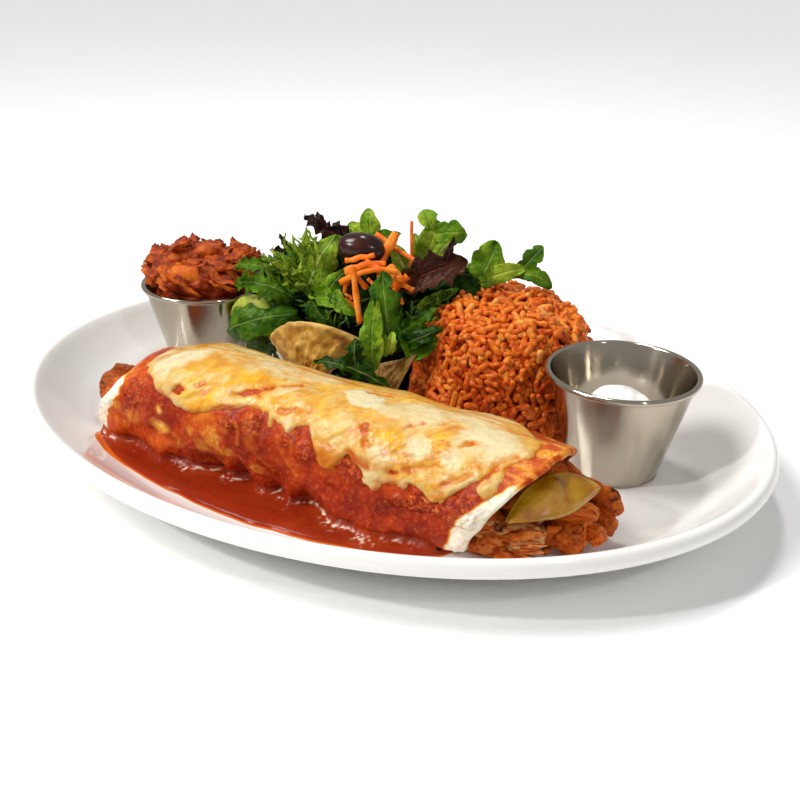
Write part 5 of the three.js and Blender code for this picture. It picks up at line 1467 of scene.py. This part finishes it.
greenLeaves = [
    # over the rice: a broad blade, and a neck with two more lobes
    leaf((17, 46, 58), (26, 58, 78.4), 15, 0.72, via=(25, 52, 63), bulb=1.35, lobes=4),
    leaf((21, 49, 61), (41, 60, 68), 7.5, 0.75, via=(31, 55, 65), notch=0.1),
    leaf((35, 58, 63), (45, 66, 76.6), 8, 0.55, via=(40, 62, 69), bulb=1.5, notch=0.3),
    leaf((34, 58, 63), (52, 62, 60), 7.5, 0.5, via=(43, 61, 67), bulb=1.7),
    leaf((24, 47, 57), (13, 45, 63), 8, 0.25, cup=3),
    leaf((26, 47, 57), (15, 45, 64), 3.4, 0.7, via=(20, 45, 59), rib=0.6),
    leaf((22, 42, 58), (13, 42, 70), 8, 0.15),
    # the top: one blade with four lobes
    leaf((-3, 43, 60), (2, 48, 86), 13, 0.78, via=(-1, 46, 74), bulb=1.3, lobes=3),
    leaf((-2, 43, 62), (-8, 45, 80), 7, 0.6, bulb=1.1, rib=0.6),
    leaf((0, 47, 80), (-5, 48, 90.6), 8, 0.75, bulb=1.9, notch=0.1),
    leaf((-3, 47, 79), (14.5, 50, 82.5), 11, 0.65, bulb=1.7, notch=0.25),
    leaf((1, 42, 64), (11, 45, 80), 5.5, 0.85, via=(4, 44, 75), rib=0.5),
    # behind the olive
    leaf((-27, 40, 66), (-32, 46, 88), 9, 0.8, via=(-28.5, 42, 76), bulb=1.7, notch=0.3, lobes=2),
    leaf((-28, 41, 74), (-42, 44, 79), 8, 0.78, bulb=1.6, notch=0.15),
    leaf((-30, 40, 74), (-14, 41, 80), 7, 0.6, frill=0.4),
    leaf((-2, 34, 58), (-14, 34, 78), 8.5, 0.9, rib=0.9),
    # left of the olive, folded, with long ribs
    leaf((-47, 15, 54), (-38, 26, 80), 16, 0.78, via=(-43, 18, 68), bulb=0.85, cup=-4, notch=0.2,
        ruffle=0.2, waves=4, lobes=5, face=(0.25, -0.85, 0.3), rib=0.6),
    leaf((-40, 14, 50), (-27, 16, 68), 8, 0.6, via=(-33, 14, 61)),
    leaf((-40, 12, 56), (-14, 6, 52), 9.5, 0.62, via=(-28, 8, 58), notch=0.35, lobes=3, cup=3,
        ruffle=0.25, teeth=0.2),
    leaf((-30, 6, 44), (-42, 10, 55), 11, 0.2, teeth=0.3),
    # over the bean cup's edge
    leaf((-52, 13, 52), (-78, 4, 57), 18, 0.5, via=(-64, 8, 60), teeth=0.5, lobes=6, frill=0.7, rib=0.35,
        face=(0.1, -0.85, 0.5)),
    leaf((-60, 14, 60), (-81, 8, 63), 9, 0.5, via=(-70, 11, 68), teeth=0.4, frill=0.6, lobes=5),
    leaf((-56, 16, 56), (-67, 16, 69), 8, 0.42, teeth=0.5, frill=0.6),
    leaf((-54, 20, 56), (-69, 23, 67), 8, 0.5, frill=1, teeth=0.4, lobes=6),
    leaf((-48, 22, 58), (-61, 27, 72), 9, 0.6, frill=1, teeth=0.4, lobes=5),
    leaf((-50, 16, 54), (-62, 18, 61), 8, 0.5, frill=1, teeth=0.5),
    leaf((-47, 22, 60), (-53, 28, 76), 8, 0.7, frill=0.8, teeth=0.5, lobes=5),
    leaf((-48, 10, 46), (-81, -1, 35), 17, 0.42, via=(-63, 2, 44), bulb=1.3, notch=0.22, lobes=3, bow=4,
        cup=-2, face=(0, -0.9, 0.4), rib=0.2),
    leaf((-52, 9, 42), (-77, 7, 24), 18, 0.45, via=(-64, 5, 38), bulb=1.2, notch=0.2, lobes=3),
    # two near-black leaves: painted shade in gaps of the heap
    leaf((-30, 28, 56), (-40, 30, 74), 12, 0.08),
    leaf((-26, 40, 58), (-15, 40, 75), 13, 0.12),
    leaf((-50, 32, 54), (-73, 31, 66), 11, 0.35, frill=1),
    # front
    leaf((5, 0, 42), (-3.5, 6, 74.5), 15, 0.52, via=(0, 2, 58), bulb=1.25, teeth=0.3, notch=0.35, lobes=3,
        rib=0.3, ruffle=0.2),
    leaf((-3, 0, 66), (1.5, -10, 36), 10, 0.66, via=(-2, -8, 50), bulb=1.3, notch=0.3),
    leaf((2, -8, 47), (-10, -9, 43), 6, 0.55, bulb=1.4),
    leaf((1, -5, 52), (5, -6, 42), 6.5, 0.65),
    leaf((6, -2, 52), (6, -4, 42), 4, 0.9),
    leaf((10, -12, 31), (-24, -16, 38), 10, 0.28, via=(-5, -15, 41), teeth=0.5, lobes=4, frill=0.5,
        rib=0.3),
    leaf((-2, -14, 32), (-6, -12, 50), 11, 0.26, via=(-7, -14, 42), teeth=0.4, lobes=4, rib=0.25),
    leaf((2, 9, 46), (18, 14, 59), 9, 0.35, teeth=0.4, frill=0.5),
    leaf((1, 30, 51), (19, 34, 62), 5.5, 0.6, via=(11, 31, 57), frill=0.5),
    leaf((4, 4, 42), (24, 6, 54), 9, 0.3, teeth=0.3),
    # in the shade behind the front leaves
    # dark leaves behind the front leaves: their low tone is painted shade
    leaf((-42, 24, 52), (-77, 23, 43), 18, 0.1, teeth=0.3),
    leaf((-40, 22, 42), (-67, 22, 34), 16, 0.05, teeth=0.3),
    leaf((-46, 30, 60), (-74, 30, 54), 16, 0.25, teeth=0.4, frill=0.5),
    leaf((-10, 34, 50), (16, 35, 57), 18, 0.04, teeth=0.3),
    leaf((-12, 33, 58), (8, 36, 65), 14, 0.04, teeth=0.3),
    leaf((-8, 36, 62), (22, 38, 68), 17, 0.04, teeth=0.3),
    leaf((2, 34, 52), (26, 40, 62), 15, 0.08, teeth=0.3),
    leaf((-30, 26, 62), (-16, 28, 74), 14, 0.06),
    leaf((-34, 18, 48), (-8, 20, 60), 18, 0.02),
    leaf((-50, 24, 44), (-80, 20, 47), 14, 0.2, teeth=0.3),
    # back
    leaf((-30, 54, 40), (-24, 82, 24), 26, 0.5, face=(0, 0.8, 0.6)),
    leaf((-50, 50, 40), (-68, 70, 24), 24, 0.5, face=(-0.3, 0.8, 0.6)),
    leaf((-8, 54, 40), (4, 78, 22), 24, 0.45, face=(0.2, 0.8, 0.6)),
]
darkLeaves = [
    leaf((-10, 22, 58), (21, 38, 74), 19, 0.6, via=(6, 26, 70), bulb=1.45, frill=0.9, teeth=0.25, lobes=5,
        cup=2, rib=0.4),
    leaf((12, 34, 70), (15, 37, 84), 3, 0.2),
    leaf((-38, 36, 73), (-61, 37, 83), 11, 0.12, frill=1, teeth=0.4, lobes=4),
    leaf((-48, 36, 76), (-54.5, 38, 85), 5, 0.1, teeth=0.4),
    leaf((-34, 37, 70), (-48, 40, 81), 10, 0.35, teeth=0.4),
    leaf((-58, 34, 66), (-79, 34, 64.5), 6, 0.15, frill=1, teeth=0.6),
    leaf((-66, 35, 63), (-73.5, 35, 73), 4, 0.1, teeth=0.4),
    leaf((-28, 8, 48), (-20, 14, 66), 9, 0.2, teeth=0.3),
]
# thin curly leaves: middle of a tuft, the way it points, how many, length
tufts = [((-49, 22, 67), (-0.3, 0, 0.9), 44, 13), ((-57, 18, 62), (-0.6, -0.2, 0.6), 38, 11),
         ((-51, 16, 61), (-0.2, -0.4, 0.7), 30, 11), ((-66, 18, 57), (-0.7, 0, 0.5), 12, 9), ((8, 11, 49),
             (0.6, 0.1, 0.8), 22, 9), ((-26, 4, 46), (0, -0.2, 0.9), 18, 8),
         ((18, 43, 62), (0.3, 0, 0.8), 9, 9), ((12, 30, 52), (0.5, -0.2, 0.7), 14, 8), ((-40, 8, 50),
             (-0.5, -0.3, 0.5), 14, 7)]


# one blade along a curved midrib: lobed or toothed outline, cupped, ruffled and crinkled
def leafShape(leaf, seed, grid=(32, 15)):
    fold, tear = makeNoise(200 + seed), makeNoise(260)
    rows, columns = grid
    u = 1 - (1 - np.linspace(0, 1, rows)[:, None]) ** 1.4
    w = np.linspace(-1, 1, columns)[None, :]
    start, end = np.asarray(leaf["from"], float), np.asarray(leaf["to"], float)
    via = leaf.get("via", (start + end) / 2)
    ahead = unit(end - start)
    out = np.asarray(leaf.get("face", towardFront), float)
    out = unit(out - ahead * out.dot(ahead))
    across = np.cross(ahead, out)
    side = np.where(w > 0, 1.4, 0)
    body = np.sin(np.pi * (0.04 + 0.955 * u ** leaf.get("bulb", 0.9))) ** 0.6
    lobes, frill = leaf.get("lobes", 3), leaf.get("frill", 0.0)
    wave = np.abs(np.sin(np.pi * lobes * u + seed + side))
    edge = (1.08 - leaf.get("notch", 0.2) * (1 - wave) ** 2 - leaf.get("teeth", 0)
        * np.abs(np.cos(np.pi * lobes * u * 1.3 + seed * 2 + side)) - 0.12 * frill
        * (1 + np.sin(31 * u + seed + side * 3)))
    edge = edge + 0.08 * tear(u * 9, np.sign(w) * 3, seed) + 0.04 * tear(u * 26, np.sign(w) * 2, seed)
    wide = leaf["width"]
    width = wide / 2 * body * np.broadcast_to(edge, (rows, columns))
    along = np.linalg.norm(end - start)
    waves = leaf.get("waves", 2.2)
    ruffle = (leaf.get("ruffle", 0.14) * wide * w * w * np.sin(waves * np.pi * u + seed
        + np.where(w > 0, 0.9, 2.6)))
    ruffle = ruffle + (0.03 + 0.07 * frill) * wide * np.abs(w) ** 3 * np.sin(21 * u + seed * 2 + side * 5)
    crinkle = (0.07 * wide * fold(u * along / 6, w * wide / 9, 1) + 0.3 * fold(u * along / 2.6,
        w * wide / 5, 2))
    lift = leaf.get("bow", 2) * 4 * u * (1 - u) + leaf.get("cup", 0) * w * w + ruffle + crinkle
    lift = lift - 0.16 * wide * smooth(0.7, 1, u) ** 2 * (1 + 0.6 * math.sin(3.7 * seed))
    middle = bezier(start, via, end, u).reshape(rows, 1, 3)
    rib = leaf.get("rib", 0.15)
    thick = leafHalf * (1 - 0.4 * np.abs(w)) + 0.6 * rib * bump(w, 0.12) * (1 - u)
    surface = middle + across * (width * w)[..., None] + out * lift[..., None]
    points, faces = sheetSolid(surface + out * thick[..., None], surface - out * thick[..., None])
    return points, faces, sheetLayers((rows, columns), {"leafU": u * along / 20, "leafW": w * wide / 14,
        "rib": rib, "tone": leaf["tone"] + 0.2 * fold(u * 1.5, w, 4)})


# a leaf rolled into a small funnel that opens toward the front
def funnelLeaf():
    noise = makeNoise(290)
    u, turn = np.linspace(0, 1, 20)[:, None], np.linspace(0, 2 * np.pi, 60)[None, :]
    out = unit(np.array([0.5, -0.75, 0.35]))
    side = unit(np.cross((0, 0, 1), out))
    up = np.cross(out, side)
    radius = (0.9 + (7.0 + 0.9 * np.sin(3 * turn + 1)) * u ** 0.8 + 0.5 * noise(u * 2, np.cos(turn) * 2,
        np.sin(turn) * 2))
    high = (3.2 * u ** 0.8 + 1.1 * u * u * np.sin(4 * turn) + 0.5 * noise(u * 4, np.cos(turn) * 3,
        np.sin(turn) * 3))
    ring = side * np.cos(turn)[..., None] + up * 0.86 * np.sin(turn)[..., None]
    place = np.array([13, 7, 45]) + ring * radius[..., None] + out * high[..., None]
    points, faces = sheetSolid(place + out * 0.3, place - out * 0.3)
    # darker toward the narrow end: painted shade inside the funnel
    return points, faces, sheetLayers(radius.shape,
        {"leafU": u, "leafW": 0.5, "rib": 0.1, "tone": 0.3 + 0.35 * u})


def lettuceLeaf(name, colors):
    # crisp leaf with raised veins: satin cuticle, light shines a little through
    material, tree, shader, place, layers = newMaterial(name, {"IOR": 1.42, "Specular IOR Level": 0.12,
        "Roughness": 0.3, "Subsurface Weight": 0.1, "Subsurface Scale": 0.001,
        "Subsurface Radius": (0.5, 1.0, 0.1)}, ("leafU", "leafW", "tone", "rib"))
    cloud = addNode(tree, "TexNoise", {"Scale": perMm(5), "Detail": 5.0, "Roughness": 0.6,
        "Vector": place})
    shade = addNode(tree, "Math", {"operation": "MULTIPLY_ADD", 1: 0.9, 2: -0.45, 0: cloud})
    level = addNode(tree, "Math", {"operation": "ADD", "use_clamp": True, 0: shade, 1: layers["tone"]})
    blade = addNode(tree, "ValToRGB",
        {"stops": [(0.05, colors[0]), (0.35, colors[1]), (0.65, colors[2]), (0.95, colors[3])],
        "Fac": level})
    # branching side veins, bent by noise so that no two run alike
    away = addNode(tree, "Math", {"operation": "ABSOLUTE", 0: layers["leafW"]})
    lean = addNode(tree, "Math", {"operation": "MULTIPLY_ADD", 1: 2.6, 0: away, 2: cloud})
    bands = addNode(tree, "Math", {"operation": "MULTIPLY_ADD", 1: 4.0, 0: layers["leafU"], 2: lean})
    fork = addNode(tree, "Math", {"operation": "PINGPONG", 1: 0.5, 0: bands})
    sideVein = addNode(tree, "MapRange", {"From Max": 0.09, "To Min": 0.5, "To Max": 0.0, "Value": fork})
    midrib = addNode(tree, "MapRange", {"From Min": 0.03, "From Max": 0.1, "To Min": 0.95, "To Max": 0.0,
        "Value": away})
    veins = addNode(tree, "Math", {"operation": "MAXIMUM", 0: sideVein, 1: midrib})
    shown = addNode(tree, "Math", {"operation": "MULTIPLY", 0: veins, 1: layers["rib"]})
    color = addNode(tree, "MixRGB", {"Color2": linearColor(colors[4]), "Fac": shown, "Color1": blade})
    cells = addNode(tree, "TexVoronoi", {"Scale": perMm(2.2), "feature": "SMOOTH_F1", "Vector": place})
    puckered = addNode(tree, "Math", {"operation": "MULTIPLY_ADD", 1: -0.6, 0: veins, 2: cells})
    relief = addNode(tree, "Bump", {"Strength": 0.8, "Distance": 0.001, "Height": puckered})
    fillNode(tree, shader, {"Base Color": color, "Normal": relief})
    return material


def makeSalad():
    random = np.random.default_rng(17)
    lumps = makeNoise(50)

    def rough(c, s, high):
        return 3.5 * lumps(c * 2.6, s * 2.6 + 7, high * 3) + 1.5 * lumps(c * 8, s * 8, high * 8)
    core, coreFaces = domeCore(salad, 30, 90, 9, rough)
    green = lettuceLeaf("green lettuce", ("0c2804", "2c5606", "5c8210", "9cb430", "c0cc78"))
    red = lettuceLeaf("red oak lettuce", ("140806", "30140c", "523020", "7c5840", "8a3a24"))
    # near-black lettuce for the core under the leaves: painted shade deep in the heap
    dark = lettuceLeaf("shaded lettuce", ("040a02", "081204", "0e1c06", "16280a", "1c300c"))
    flat = {"leafU": 0.0, "leafW": 1.0, "rib": 0.0, "tone": 0.3}
    makePiece("saladCore", core, coreFaces, dark, ("salad",),
        {key: np.full(len(core), value) for key, value in flat.items()})
    # more leaves over the heap, most at its back and top, the front ones short, low in the heap and dark
    # with painted shade
    fillers = []
    for n in range(46):
        spin = goldenAngle * n + random.uniform(-0.2, 0.2)
        t = random.uniform(0.15, 1.35)
        root = domePoint(salad, np.array(t), np.array(spin), 16)
        rise = unit(root - np.array([salad["x"], salad["y"], floorZ + 14]))
        front = rise[1] < 0.1
        reach = random.uniform(8, 12) if front else random.uniform(17, 24)
        sideways = unit(np.cross(rise, (0, 0, 1))) * random.uniform(-9, 9)
        tip = root + rise * reach + sideways + np.array([0, 0, random.uniform(-4, 5)])
        low = max(coupeZ(tip[0], tip[1]), floorZ) + 4
        tip[2] = max(tip[2], low)
        fillers.append({"from": root - rise * 6, "to": tip, "width": random.uniform(12, 20)
            + 4 * (not front), "face": rise + (0, 0, 0.4), "bulb": random.uniform(0.7, 1.4),
            "teeth": random.uniform(0, 0.4), "lobes": random.uniform(2, 4),
            "frill": random.uniform(0, 0.8), "tone": random.uniform(0.0, 0.16)
            if front else random.uniform(0.2, 0.7)})
    # a skirt of leaves that hang over the back and the left side
    for n in range(30):
        spin = math.radians(-6 + 222 * (n + random.uniform(-0.4, 0.4)) / 29)
        high = (0.5, 0.75, 1.0)[n % 3]
        root = domePoint(salad, np.array(high), np.array(spin), 9)
        foot = domePoint(salad, np.array(high - 0.48), np.array(spin + random.uniform(-0.3, 0.3)), -1.5)
        rise = unit(root - np.array([salad["x"], salad["y"], floorZ + 6]))
        foot[2] = max(foot[2], coupeZ(foot[0], foot[1]) + 3)
        fillers.append({"from": root, "via": (root + foot) / 2 + rise * 7, "to": foot,
            "width": random.uniform(18, 26), "face": rise + (0, 0, 0.3), "bulb": random.uniform(0.8, 1.3),
            "teeth": random.uniform(0.1, 0.4), "lobes": random.uniform(2, 4),
            "frill": random.uniform(0.2, 0.9), "rib": random.uniform(0.1, 0.4),
            "tone": random.uniform(0.15, 0.7)})
    slender = []
    for middle, way, count, long in tufts:
        for n in range(count):
            start = np.array(middle) + random.normal(0, 1, 3) * (3.2, 2, 3)
            ahead = unit(np.array(way) + random.normal(0, 0.5, 3))
            bend = random.normal(0, 0.26, 3) * long
            slender.append({"from": start, "via": start + ahead * long * 0.5 + bend, "to": start
                + ahead * long * random.uniform(0.6, 1.1), "width": random.uniform(1.4, 3.4), "bow": 0.5,
                "teeth": 0.5, "frill": 1.0, "tone": random.uniform(0.6, 1.05)
                if long > 9.5 else random.uniform(0.2, 0.5)})
    shapes = [leafShape(leaf, n) for n, leaf in enumerate(greenLeaves)]
    shapes += [leafShape(leaf, 60 + n, (18, 11)) for n, leaf in enumerate(fillers)]
    points, faces, layers = joinShapes(shapes + [funnelLeaf()])
    makePiece("greenLeaves", points, faces, green, ("salad",), layers)
    points, faces, layers = joinShapes([leafShape(leaf, 120 + n, (10, 5))
        for n, leaf in enumerate(slender)])
    makePiece("curlyLeaves", points, faces, green, ("salad",), layers)
    points, faces, layers = joinShapes([leafShape(leaf, 280 + n) for n, leaf in enumerate(darkLeaves)])
    makePiece("redLeaves", points, faces, red, ("salad",), layers)


makeSalad()
print("salad done")


# Garnish: one olive, carrot shreds, a slice of avocado and two tortilla chips

olive = {"x": -23.0, "y": 24, "z": 75.9, "length": 22, "girth": 14.6}
carrots = {
    "half": 0.9,
    # from, to, sag, width against the usual
    "shreds": [((-6, 38, 87.5), (-4, 35, 70), 0, 0.9), ((-21.5, 34, 80.5), (4, 29, 71), 0.5, 1.2),
        ((-14.5, 21, 69), (-10, 31, 83.5), 0, 2.2), ((-18.5, 7, 74), (-11, 1, 51.5), 0.3, 1.4),
        ((-24, 7, 65.5), (0, 14, 72), 3.4, 1.3), ((-25, 13, 73.5), (-12.5, 16, 77), 0, 1.2),
        ((-23, 9, 70), (-8, 18, 73), 1, 1.9), ((-5, 15, 74), (2, 16, 66), 0, 1.9),
        ((-16, 14, 74), (-2, 14, 69), 0, 1.8), ((-2, 14, 66), (3, 17, 70), 0, 1.7),
        ((-20, 10, 72), (-14, 12, 63), 0, 1.3), ((-1, 12, 65.5), (3.5, 12, 59), 0, 0.9),
        ((-24.5, 8, 57.5), (-17.5, 8, 54.5), 0.5, 2.0), ((-21, 9, 66), (-23.5, 9, 60), 0.3, 0.8),
        ((-23.5, 9, 61), (-19.5, 9, 58), 0, 0.8), ((-12.5, 10, 68.5), (-8.5, 10, 65.5), 0, 0.8),
        ((-3, 33, 72), (-4, 33, 63), 0, 1.0), ((-12, 22, 66), (4, 22, 62), 0, 1.4),
        ((-9, 13, 70), (-2, 19, 63), 0, 1.5)],
}
avocado = {"at": (-72, 7, 43.5), "half": (12.5, 4.2, 6.5), "lift": -0.5, "turn": -0.1}
chips = {
    "tortillaChipLeft": {"node": "chip_1", "a": (-58, 0, 36.5), "b": (-8.5, 0, 44.5), "c": (-30, -11, 24),
                         "bulge": 8, "seed": 1},
    "tortillaChipRight": {"node": "chip_2", "a": (-7, -3, 34.5), "b": (15, 2, 42.5), "c": (6, -10, 20),
                          "bulge": -4, "seed": 2},
}
chipHalf = 0.95  # half a chip's thickness


def simpleFood(name, colors, size, values, strength):
    material, tree, shader, place, _ = newMaterial(name, values)
    cloud = addNode(tree, "TexNoise", {"Scale": perMm(size), "Detail": 4.0, "Vector": place})
    color = addNode(tree, "ValToRGB", {"stops": [(0.32, colors[0]), (0.5, colors[1]), (0.7, colors[2])],
        "Fac": cloud})
    fine = addNode(tree, "TexNoise", {"Scale": perMm(size * 0.3), "Detail": 3.0, "Vector": place})
    relief = addNode(tree, "Bump", {"Strength": strength, "Distance": 0.0004, "Height": fine})
    fillNode(tree, shader, {"Base Color": color, "Normal": relief})
    return material, tree, shader, color


def makeOlive():
    # brine-cured olive: a smooth oily skin, nearly black with a brown-red cast
    material = simpleFood("brine cured olive", ("200803", "300e05", "4a1a0a"), 9,
        {"IOR": 1.42, "Roughness": 0.24, "Specular IOR Level": 0.35, "Coat Weight": 0.25,
        "Coat Roughness": 0.2}, 0.3)[0]
    t = np.linspace(-np.pi / 2, np.pi / 2, 46)[1:-1, None]
    angle = circle(64)[None, :]
    dent = makeNoise(91)
    radius = np.cos(t) ** 0.92 * (1 + 0.025 * dent(t * 2, np.cos(angle) * 2, np.sin(angle) * 2))
    points = np.stack(np.broadcast_arrays(olive["length"] / 2 * np.sin(t)
        * (1 - 0.05 * bump(radius, 0.25)), olive["girth"] / 2 * radius * np.cos(angle),
        olive["girth"] / 2 * radius * np.sin(angle)), -1)
    points = turnedPoints(points, math.degrees(0.28), math.degrees(0.12),
        (olive["x"], olive["y"], olive["z"]))
    shape, faces = ringSolid(points)
    makePiece("blackOlive", shape, faces, material, ("olive",))


def makeCarrots():
    # raw carrot cut in square shreds: wet cut faces with fine fibres
    material = simpleFood("raw carrot", ("e2580e", "f47a18", "fc9c38"), 6,
        {"IOR": 1.42, "Roughness": 0.34, "Specular IOR Level": 0.2, "Subsurface Weight": 0.15,
        "Subsurface Scale": 0.002, "Subsurface Radius": (1.0, 0.5, 0.1)}, 0.5)[0]
    shapes = []
    wobble = makeNoise(93)
    u = np.linspace(0, 1, 26)[:, None]
    for n, (start, end, sag, wide) in enumerate(carrots["shreds"]):
        start, end = np.asarray(start, float), np.asarray(end, float)
        middle = (start + end) / 2 + np.array([0, -sag, 2 * sag])
        path = bezier(start, middle, end, u)[:, 0]
        path = (path + 0.5 * np.stack([wobble(u[:, 0] * 4, n, k) for k in (1, 2, 3)], -1)
            * np.sin(np.pi * u))
        ahead = unit(np.gradient(path, axis=0))
        side = unit(np.cross(ahead, towardFront))
        up = np.cross(side, ahead)
        half = (carrots["half"] * (1 + 0.18 * wobble(u * 6, n)) * np.where((u < 0.02) | (u > 0.98), 0.86,
            1))
        corners = []
        for a, b in ((-1, -0.72), (0, -0.8), (1, -0.72), (1, 0), (1, 0.72), (0, 0.8), (-1, 0.72),
                (-1, 0)):
            corners.append(path + side * half * wide * a + up * half * b)
        shapes.append((*ringSolid(np.stack(corners, 1)), {}))
    points, faces = joinShapes(shapes)[:2]
    makePiece("carrotShreds", points, faces, material, ("carrot_shreds",))


def makeAvocado():
    # ripe avocado flesh: buttery and matt, green by the skin and yellow by the stone
    material, tree, shader, color = simpleFood("ripe avocado", ("8ca02a", "a6b43a", "c2ca58"), 7,
        {"IOR": 1.45, "Roughness": 0.42, "Subsurface Weight": 0.25, "Subsurface Scale": 0.003}, 0.25)
    edge = addNode(tree, "Attribute", {"attribute_name": "rind"}).outputs["Fac"]
    toned = addNode(tree, "MixRGB", {"Color2": linearColor("d8b79a"), "Fac": edge, "Color1": color})
    fillNode(tree, shader, {"Base Color": toned})
    t = np.linspace(-np.pi / 2, np.pi / 2, 40)[1:-1, None]
    angle = circle(56)[None, :]
    hx, hy, hz = avocado["half"]
    dent = makeNoise(95)
    radius = np.cos(t) ** 0.85 * (1 + 0.03 * dent(t * 2, np.cos(angle) * 2, np.sin(angle) * 2))
    c, s = np.cos(angle), np.sin(angle)
    flat = (np.abs(c) ** 2.8 + np.abs(s) ** 2.8) ** (-1 / 2.8)
    points = np.stack(np.broadcast_arrays(hx * np.sin(t), hy * radius * c * flat, hz * radius * s * flat),
        -1)
    points[..., 2] -= 0.02 * points[..., 0] ** 2 - 1.2
    points = turnedPoints(points, math.degrees(avocado["turn"]), math.degrees(avocado["lift"]),
        avocado["at"])
    shape, faces = ringSolid(points)
    rind = np.broadcast_to(smooth(-0.75, -0.95, s) * 0.8, radius.shape)
    makePiece("avocadoSlice", shape, faces, material, ("avocado_slice",),
        {"rind": np.concatenate([rind.ravel(), [0, 0]])})


def friedChip():
    # corn tortilla fried crisp: dry and matt, blistered, with a toasted rim and brown freckles
    material, tree, shader, place, layers = newMaterial("fried corn tortilla",
        {"IOR": 1.45, "Roughness": 0.55}, ("rim", "blister", "toast"))
    cloud = addNode(tree, "TexNoise", {"Scale": perMm(6), "Detail": 5.0, "Vector": place})
    corn = addNode(tree, "ValToRGB",
        {"stops": [(0.32, "84500c"), (0.44, "a8721a"), (0.56, "c4902c"), (0.7, "dcb050")], "Fac": cloud})
    pale = addNode(tree, "MixRGB", {"Color2": linearColor("d8ac5c"), "Fac": layers["rim"],
        "Color1": corn})
    high = addNode(tree, "MixRGB", {"Color2": linearColor("dab04e"), "Fac": layers["blister"],
        "Color1": pale})
    freckle = addNode(tree, "TexVoronoi", {"Scale": perMm(3.2), "Vector": place})
    dots = addNode(tree, "MapRange", {"From Min": 0.1, "From Max": 0.2, "To Min": 0.6, "To Max": 0.0,
        "Value": freckle})
    freckled = addNode(tree, "MixRGB", {"Color2": linearColor("5c300e"), "Fac": dots, "Color1": high})
    toasted = addNode(tree, "MixRGB", {"Color2": linearColor("5a3510"), "Fac": layers["toast"],
        "Color1": freckled})
    fine = addNode(tree, "TexNoise", {"Scale": perMm(0.8), "Detail": 3.0, "Vector": place})
    relief = addNode(tree, "Bump", {"Strength": 0.5, "Distance": 0.0004, "Height": fine})
    fillNode(tree, shader, {"Base Color": toasted, "Normal": relief})
    return material


def makeChips():
    material = friedChip()
    for name, chip in chips.items():
        blister, fine = makeNoise(70 + chip["seed"]), makeNoise(80)
        a, b, c = [np.asarray(chip[k], float) for k in "abc"]
        face = unit(np.cross(b - a, c - a))
        face = -face if face[1] > 0 else face
        u, v = np.linspace(0, 1, 76)[:, None], np.linspace(0, 1, 38)[None, :]
        top = a + (b - a) * u[..., None]
        top = top + np.array([0, 0, 1]) * (5.5 * 4 * u * (1 - u) * (chip["bulge"] > 0))[..., None]
        low = c + (b - a) * (0.2 * (u - 0.5))[..., None]
        middle = top + (low - top) * v[..., None]
        arch = chip["bulge"] * (1 - (2 * u - 1) ** 2) * (1 - 0.6 * v)
        puff = np.clip(fine(u * 9, v * 7, chip["seed"]), 0, 1)
        relief = 0.7 * blister(u * 5, v * 4, 0) + 1.5 * puff ** 1.3 + 0.5 * fine(u * 22, v * 13, 3)
        edge = np.minimum(np.minimum(u, 1 - u) * 50, v * 24)
        half = chipHalf * np.clip(edge / 1.6, 0.3, 1)
        front = middle + face * (arch + relief + half)[..., None]
        back = middle + face * (arch + 0.4 * relief - half)[..., None]
        points, faces = sheetSolid(front, back)
        rim = smooth(2.2, 0.6, edge + 0.5 * fine(u * 12, v * 9, 6))
        # toasted patches from the blister noise, and the right chip made darker brown all over
        toast = smooth(0.3, 0.9, blister(u * 3 + 4, v * 3, 5)) * 0.5 + (0.55 if chip["seed"] == 2 else 0)
        makePiece(name, points, faces, material, (chip["node"],),
            sheetLayers(edge.shape, {"rim": rim, "blister": smooth(0.25, 0.8, puff) * 0.5,
            "toast": toast}))


makeOlive()
makeCarrots()
makeAvocado()
makeChips()
print("garnish done")
